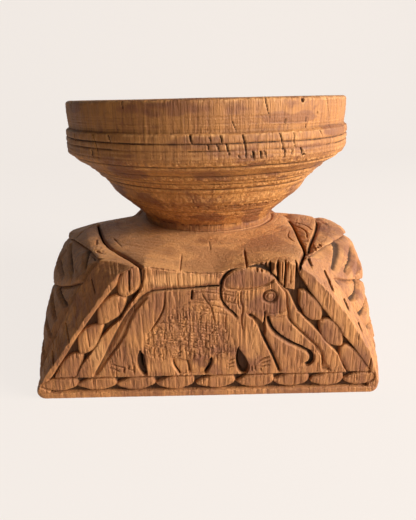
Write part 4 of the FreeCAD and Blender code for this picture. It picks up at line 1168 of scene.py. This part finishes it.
def surface_mesh(axes, field):
    """Points and quads of the surface where the field crosses zero. The field is above zero outside."""
    inside = field < 0
    cells = tuple(size - 1 for size in field.shape)
    count = np.zeros(cells, dtype=np.uint8)
    for a, b, c in CORNERS:
        count += inside[a:a + cells[0], b:b + cells[1], c:c + cells[2]]
    active = np.nonzero((count > 0) & (count < 8))
    number = np.full(cells, -1, dtype=np.int32)
    number[active] = np.arange(len(active[0]), dtype=np.int32)
    values = [field[active[0] + a, active[1] + b, active[2] + c] for a, b, c in CORNERS]
    total = np.zeros((len(active[0]), 3))
    hits = np.zeros(len(active[0]))
    for start, end in EDGES:
        low, high = values[start], values[end]
        crossed = (low < 0) != (high < 0)
        share = np.where(crossed, low / np.where(crossed, low - high, 1), 0)
        for axis in range(3):
            one, two = CORNERS[start][axis], CORNERS[end][axis]
            total[:, axis] += np.where(crossed, one + (two - one) * share, 0)
        hits += crossed
    total /= hits[:, None]
    points = np.empty_like(total)
    for axis in range(3):
        steps = axes[axis]
        low = steps[active[axis]]
        points[:, axis] = low + total[:, axis] * (steps[active[axis] + 1] - low)
    quads = []
    for axis in range(3):
        others = [other for other in range(3) if other != axis]
        head = [slice(None)] * 3
        tail = [slice(None)] * 3
        head[axis], tail[axis] = slice(0, -1), slice(1, None)
        for other in others:
            head[other] = tail[other] = slice(1, -1)
        first, second = inside[tuple(head)], inside[tuple(tail)]
        where = np.nonzero(first != second)
        loop = []
        for steps in ((0, 0), (1, 0), (1, 1), (0, 1)):
            index = list(where)
            for other, step in zip(others, steps):
                index[other] = where[other] + step
            loop.append(number[tuple(index)])
        faces = np.stack(loop, axis=1)
        flip = first[where] if axis == 1 else ~first[where]
        faces[flip] = faces[flip][:, ::-1]
        quads.append(faces)
    return points, np.concatenate(quads)


def point_normals(points, quads):
    ring = points[quads]
    across = np.cross(ring[:, 2] - ring[:, 0], ring[:, 3] - ring[:, 1])
    total = np.stack([np.bincount(quads.ravel(), np.repeat(across[:, axis], 4), len(points))
                      for axis in range(3)], axis=1)
    return total / np.maximum(np.linalg.norm(total, axis=1), 1e-9)[:, None]


def hollowness(points, quads, rounds):
    """How deep each point lies below the average of its surroundings, after each number of rounds."""
    starts, ends = quads.ravel(), np.roll(quads, -1, axis=1).ravel()
    count = len(points)
    share = np.bincount(starts, minlength=count) + np.bincount(ends, minlength=count)
    normals = point_normals(points, quads)
    mean = points
    out = []
    for step in range(1, max(rounds) + 1):
        around = [(np.bincount(starts, mean[ends, axis], count) + np.bincount(ends, mean[starts, axis], count))
                  / share for axis in range(3)]
        mean = np.stack(around, axis=1) * 0.75 + mean * 0.25
        if step in rounds:
            out.append(((mean - points) * normals).sum(axis=1))
    return out


def sampled(grid, rows, columns, first, second):
    """Values of a grid at places between its steps."""
    i = np.clip(np.interp(first, rows, np.arange(len(rows))), 0, len(rows) - 1.001)
    j = np.clip(np.interp(second, columns, np.arange(len(columns))), 0, len(columns) - 1.001)
    a, b = i.astype(int), j.astype(int)
    i, j = i - a, j - b
    return ((grid[a, b] * (1 - i) + grid[a + 1, b] * i) * (1 - j)
            + (grid[a, b + 1] * (1 - i) + grid[a + 1, b + 1] * i) * j)


def past_bevels(u, v):
    """How far places lie past the outer edges of the bevels."""
    return np.maximum(u - line_at(BEVEL_RIGHT, v), -u - line_at(BEVEL_LEFT, v))


# Radius of the worn corners, by height, and of the edge along the ground, and the gap under it
CORNER_WEAR = [(0, 11), (3, 8), (8, 6.5), (25, 5), (60, 3.5)]
FOOT_WEAR, FLOOR_GAP = 0.9, 0.03
# Radius of the mortise, by height
MORTISE = [(0, 27.9), (45, 25.3)]
# How far the body between the two ends reaches where the bevels are deepest, and how the ends run into it
BODY_FRONT, END_SLOPE = 136.5, 1.6


class Block:
    """The carved block as maps of how far each face stands out, over shared steps along the three axes."""

    def __init__(self):
        step = 0.7
        self.x_steps = np.arange(-153.4, 153.4 + step, step)
        self.z_steps = np.arange(-step + 0.02, SHOULDER + 2 * step, step)
        self.y_steps = grid_steps(-153.2, 153.2, 0.45, 1.25, 27)

        # Which way each end and side faces, how far out it stands and its cuts
        u, v = np.meshgrid(self.x_steps, self.z_steps, indexing="ij")
        self.u, self.v = u, v
        front, front_cut = face_depth(u, v, SEED + 100)
        back, back_cut = face_depth(-u, v, SEED + 700)
        self.ends = [(-1, HALF - front, front_cut), (1, HALF - back, back_cut)]
        y, z = np.meshgrid(self.y_steps, self.z_steps, indexing="ij")
        self.sides = []
        for way, ahead, behind, seed in ((1, "right", "left", 400), (-1, "left", "right", 500)):
            quarters = leaf_side(y, z, ahead, SEED + seed), leaf_side(y, z, behind, SEED + seed)
            self.sides.append((way, *np.where(y < 0, *quarters)))
        x, y = np.meshgrid(self.x_steps, self.y_steps, indexing="ij")
        cap = ridge_cap(x, y)
        self.top, self.top_cut = np.where(
            y < 0, top_height(x, y, SEED + 300, cap), top_height(-x, -y, SEED + 800, cap))
        self.hole = np.hypot(x - SEAT_AXIS, y)

    def field(self):
        """Above zero outside the block and below zero inside it, over the whole grid."""
        u, v = self.u, self.v
        ahead = BEVEL_DEPTH - bevel_depth(v) + BODY_FRONT
        past = {-1: past_bevels(u, v), 1: past_bevels(-u, v)}
        worn = line_at(CORNER_WEAR, v)
        worn_x = np.maximum(np.abs(u) - (HALF - worn), 0)
        mortise = line_at(MORTISE, self.z_steps)
        field = np.empty((len(self.x_steps), len(self.y_steps), len(self.z_steps)), dtype=np.float32)
        for column, place in enumerate(self.y_steps):
            body = np.maximum.reduce([way * u - face[column] for way, face, _ in self.sides])
            solid = np.maximum(body, abs(place) - ahead)
            for way, face, _ in self.ends:
                slope = (past[way] + END_SLOPE * (ahead - way * place)) * 0.6
                solid = np.minimum(solid, np.maximum(way * place - face, slope))
            solid = np.maximum(solid, np.hypot(worn_x, np.maximum(abs(place) - (HALF - worn), 0)) - worn)
            solid = np.maximum(solid, v - self.top[:, column][:, None])
            under = FLOOR_GAP - v
            rounded = np.hypot(np.maximum(solid + FOOT_WEAR, 0), np.maximum(under + FOOT_WEAR, 0))
            solid = rounded + np.minimum(-FOOT_WEAR, np.maximum(solid, under))
            field[:, column, :] = np.maximum(solid, mortise[None, :] - self.hole[:, column][:, None])
        return field

    def recess_shade(self, points):
        """Painted shade in sunk grounds and carved lines."""
        x, y, z = points.T
        roof = sampled(self.top, self.x_steps, self.y_steps, x, y)
        across = np.where(y < 0, x, -x)
        inside = np.minimum(line_at(FACE_RIGHT, z) - across, line_at(FACE_LEFT, z) + across)
        here = np.abs(z - roof) < 1
        # Painted shade in the cuts of the top
        recess_shade = 0.8 * smooth_step(0.9, 3.6, sampled(self.top_cut, self.x_steps, self.y_steps, x, y)) * here
        for way, face, cuts in self.ends:
            here = (np.abs(way * y - sampled(face, self.x_steps, self.z_steps, x, z)) < 1.5) & (z < roof - 0.8)
            # Painted shade in the carved lines and on the sunk grounds of the ends
            line_shade = 0.85 * smooth_step(0.9, 3.4, sampled(cuts, self.x_steps, self.z_steps, x, z))
            sunk_shade = 0.7 * smooth_step(2.8, 5.4, HALF - way * y) * smooth_step(-0.5, 1, inside) * (inside > -0.5)
            recess_shade = np.maximum(recess_shade, np.maximum(line_shade, sunk_shade) * here)
        for way, face, cuts in self.sides:
            here = np.abs(way * x - sampled(face, self.y_steps, self.z_steps, y, z)) < 1.5
            # Painted shade in the flutes and creases of the leaves
            line_shade = 0.78 * smooth_step(1.2, 4.8, sampled(cuts, self.y_steps, self.z_steps, y, z))
            recess_shade = np.maximum(recess_shade, line_shade * here)
        return recess_shade


def block_wear_and_light(points, quads, edge):
    """Edges worn light, painted light on upper faces, and the stains."""
    x, y, z = points.T
    patches = layered(points.T, (30, 30, 20), SEED + 92, 4)
    shade = 0.5 * smooth_step(0.46, 0.68, patches)
    # Painted light: faces that look upward, above 100 mm, are made lighter
    painted_light = smooth_step(0.5, 0.95, point_normals(points, quads)[:, 2]) * (z > 100)
    edge = np.maximum(edge, painted_light * (0.30 + 0.5 * smooth_step(0.35, 0.65, patches)))
    uneven = 0.45 + 1.1 * layered(points.T, (7, 7, 12), SEED + 93, 3)
    across = np.where(y < 0, x, -x)

    def patch(first, second, stain):
        away = np.hypot((first - stain[0]) / stain[2], (second - stain[1]) / stain[3])
        return smooth_step(1.25, 0.6, away) * uneven

    for stain in STAINS:
        here, amount = patch(across, z, stain) * (np.abs(y) > 125), stain[-1]
        if amount > 0:
            shade = np.maximum(shade, amount * here)
        else:
            shade = shade * (1 + amount * here)
            edge = np.maximum(edge, -0.6 * amount * here)
    for stain in TOP_STAINS:
        shade = np.maximum(shade, stain[-1] * patch(across, -np.abs(y), stain) * (z > 92))
    # A darker facet on the tongue, and a dark ring round the foot of the neck
    facet = np.hypot((x - 57) / 24, (y + 101) / 21) + 0.9 * (layered((x, y), (16, 16), SEED + 94, 2) - 0.5)
    shade = np.maximum(shade, 0.55 * smooth_step(1.15, 0.85, facet) * (z > 112))
    joint = 0.5 * smooth_step(84, 69, np.hypot(x - SEAT_AXIS, y)) * (z > 120)
    return edge, np.maximum(np.clip(shade, 0, 1), joint)


def build_base():
    block = Block()
    points, quads = surface_mesh((block.x_steps, block.y_steps, block.z_steps), block.field())
    small, large = hollowness(points, quads, (4, 16))
    hollow = small * 1.1 + large * 0.55
    above = points[:, 2] >= 0.3
    # Painted shade in hollows and carved lines
    cavity = np.maximum(np.clip(hollow * 0.9 - 0.06, 0, 1), block.recess_shade(points)) * above
    chips = smooth_step(0.40, 0.66, layered(points.T, (3, 3, 9), SEED + 91, 2))
    # Lighter edges, partly wear and partly painted highlight
    edge = np.clip(-hollow * 1.05 - 0.05, 0, 1) * (0.30 + 0.70 * chips) * above
    edge, shade = block_wear_and_light(points, quads, edge)
    points = np.clip(points, np.array([-HALF, -HALF, 0]) + 0.02, np.array([HALF, HALF, SHOULDER]) - 0.02)
    return points, [quads], {"cavity": cavity, "edge": edge, "shade": shade}


add_mesh("seat_turning", *build_seat(), SEAT_WOOD, "seat_wood", "turned_seat")
add_mesh("seat_tenon", *build_tenon(), SEAT_WOOD, "seat_wood", "turned_seat")
add_mesh("base_carving", *build_base(), BASE_WOOD, "base_wood", "carved_base")
for wedge in ("wedge_left", "wedge_right"):
    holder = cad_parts[wedge]
    holder.data.materials.clear()
    holder.data.materials.append(WEDGE_WOOD)


# Floor, light and camera, in metres

FLOOR_REACH, FLOOR_RISE, BEND_START, BEND = 2.6, 2.4, 1.5, 0.6
BEND_STEPS = 12
FLOOR_GLOW = 0.88


def floor_material():
    """A pale floor that takes the object's shadow but looks almost evenly bright to the camera."""
    nodes = Nodes("pale_floor")
    tone = nodes.mix(nodes.noise((3, 3, 3)), (0.73, 0.65, 0.58, 1), (0.75, 0.67, 0.60, 1))
    nodes.link(tone, nodes.shader.inputs["Base Color"])
    fill(nodes.shader, {"Roughness": 0.9, "Specular IOR Level": 0.1})
    glow = nodes.add("ShaderNodeEmission")
    fill(glow, {"Color": colour(250, 243, 237), "Strength": 1})
    path = nodes.add("ShaderNodeLightPath").outputs
    seen = nodes.math("MAXIMUM", path["Is Camera Ray"],
                      nodes.math("MAXIMUM", path["Is Glossy Ray"], path["Is Transmission Ray"]))
    blend = nodes.add("ShaderNodeMixShader")
    nodes.link(nodes.math("MULTIPLY", seen, FLOOR_GLOW), blend.inputs[0])
    nodes.link(nodes.shader.outputs[0], blend.inputs[1])
    nodes.link(glow.outputs[0], blend.inputs[2])
    nodes.link(blend.outputs[0], nodes.tree.nodes["Material Output"].inputs["Surface"])
    return nodes.material


def build_floor():
    """A floor that bends up into a wall behind the object."""
    rows = [(-FLOOR_REACH, 0)]
    for step in range(BEND_STEPS + 1):
        turn = math.pi / 2 * step / BEND_STEPS
        rows.append((BEND_START + BEND * math.sin(turn), BEND * (1 - math.cos(turn))))
    rows.append((BEND_START + BEND, FLOOR_RISE))
    wide = FLOOR_REACH * 1.6
    points = [(x, back, up) for back, up in rows for x in (-wide, wide)]
    faces = [(low, low + 1, low + 3, low + 2) for low in range(0, len(points) - 2, 2)]
    mesh = bpy.data.meshes.new("floor")
    mesh.from_pydata(points, [], faces)
    mesh.polygons.foreach_set("use_smooth", [True] * len(faces))
    mesh.materials.append(floor_material())
    floor = bpy.data.objects.new("floor", mesh)
    bpy.context.scene.collection.objects.link(floor)


def add_light(name, place, target, width, tall, power, tint):
    data = bpy.data.lights.new(name, "AREA")
    data.shape = "RECTANGLE"
    data.size, data.size_y = width, tall
    data.energy = power
    data.color = tint
    lamp = bpy.data.objects.new(name, data)
    lamp.location = place
    aim = Vector(target) - Vector(place)
    lamp.rotation_euler = aim.to_track_quat("-Z", "Y").to_euler()
    bpy.context.scene.collection.objects.link(lamp)


def build_light():
    world = bpy.data.worlds.new("studio")
    world.use_nodes = True
    tree = world.node_tree
    sky = tree.nodes["Background"]
    fill(sky, {"Color": (1, 0.92, 0.80, 1), "Strength": 0.06})
    # Beyond the floor's edge the camera sees the same pale tone
    pale = tree.nodes.new("ShaderNodeBackground")
    fill(pale, {"Color": colour(247, 240, 234), "Strength": 1})
    path, blend = tree.nodes.new("ShaderNodeLightPath"), tree.nodes.new("ShaderNodeMixShader")
    tree.links.new(path.outputs["Is Camera Ray"], blend.inputs[0])
    tree.links.new(sky.outputs[0], blend.inputs[1])
    tree.links.new(pale.outputs[0], blend.inputs[2])
    tree.links.new(blend.outputs[0], tree.nodes["World Output"].inputs["Surface"])
    bpy.context.scene.world = world
    add_light("key", (1.50, -0.56, 0.72), (0, 0, 0.12), 0.8, 0.8, 50, (1, 0.965, 0.93))
    add_light("front", (0.95, -1.4, 0.42), (0, 0, 0.1), 1, 0.6, 8, (1, 0.95, 0.89))


# The camera fitted to the photo: place in millimetres, with the first value from the seat's axis, angles in
# degrees, and focal length in pixels of a picture 520 pixels tall
CAMERA_PLACE = (SEAT_AXIS - 1.143, -466.5, 246.78)
CAMERA_PITCH, CAMERA_ROLL = 20.64, -1.197
FOCAL_PIXELS, PICTURE_TALL, SENSOR = 430, 520, 36


def build_camera():
    data = bpy.data.cameras.new("camera")
    data.sensor_width = SENSOR
    data.sensor_fit = "AUTO"
    data.lens = FOCAL_PIXELS / PICTURE_TALL * SENSOR
    data.clip_start, data.clip_end = 0.01, 20
    camera = bpy.data.objects.new("camera", data)
    pitch, roll = math.radians(CAMERA_PITCH), math.radians(CAMERA_ROLL)
    ahead = Vector((0, math.cos(pitch), -math.sin(pitch)))
    across = Vector((1, 0, 0))
    above = across.cross(ahead)
    right = math.cos(roll) * across + math.sin(roll) * above
    up = -math.sin(roll) * across + math.cos(roll) * above
    turn = Matrix((right, up, -ahead)).transposed()
    camera.matrix_world = Matrix.Translation(Vector(CAMERA_PLACE) * MM) @ turn.to_4x4()
    bpy.context.scene.collection.objects.link(camera)
    bpy.context.scene.camera = camera


build_floor()
build_light()
build_camera()
bpy.context.scene.view_settings.view_transform = "Standard"
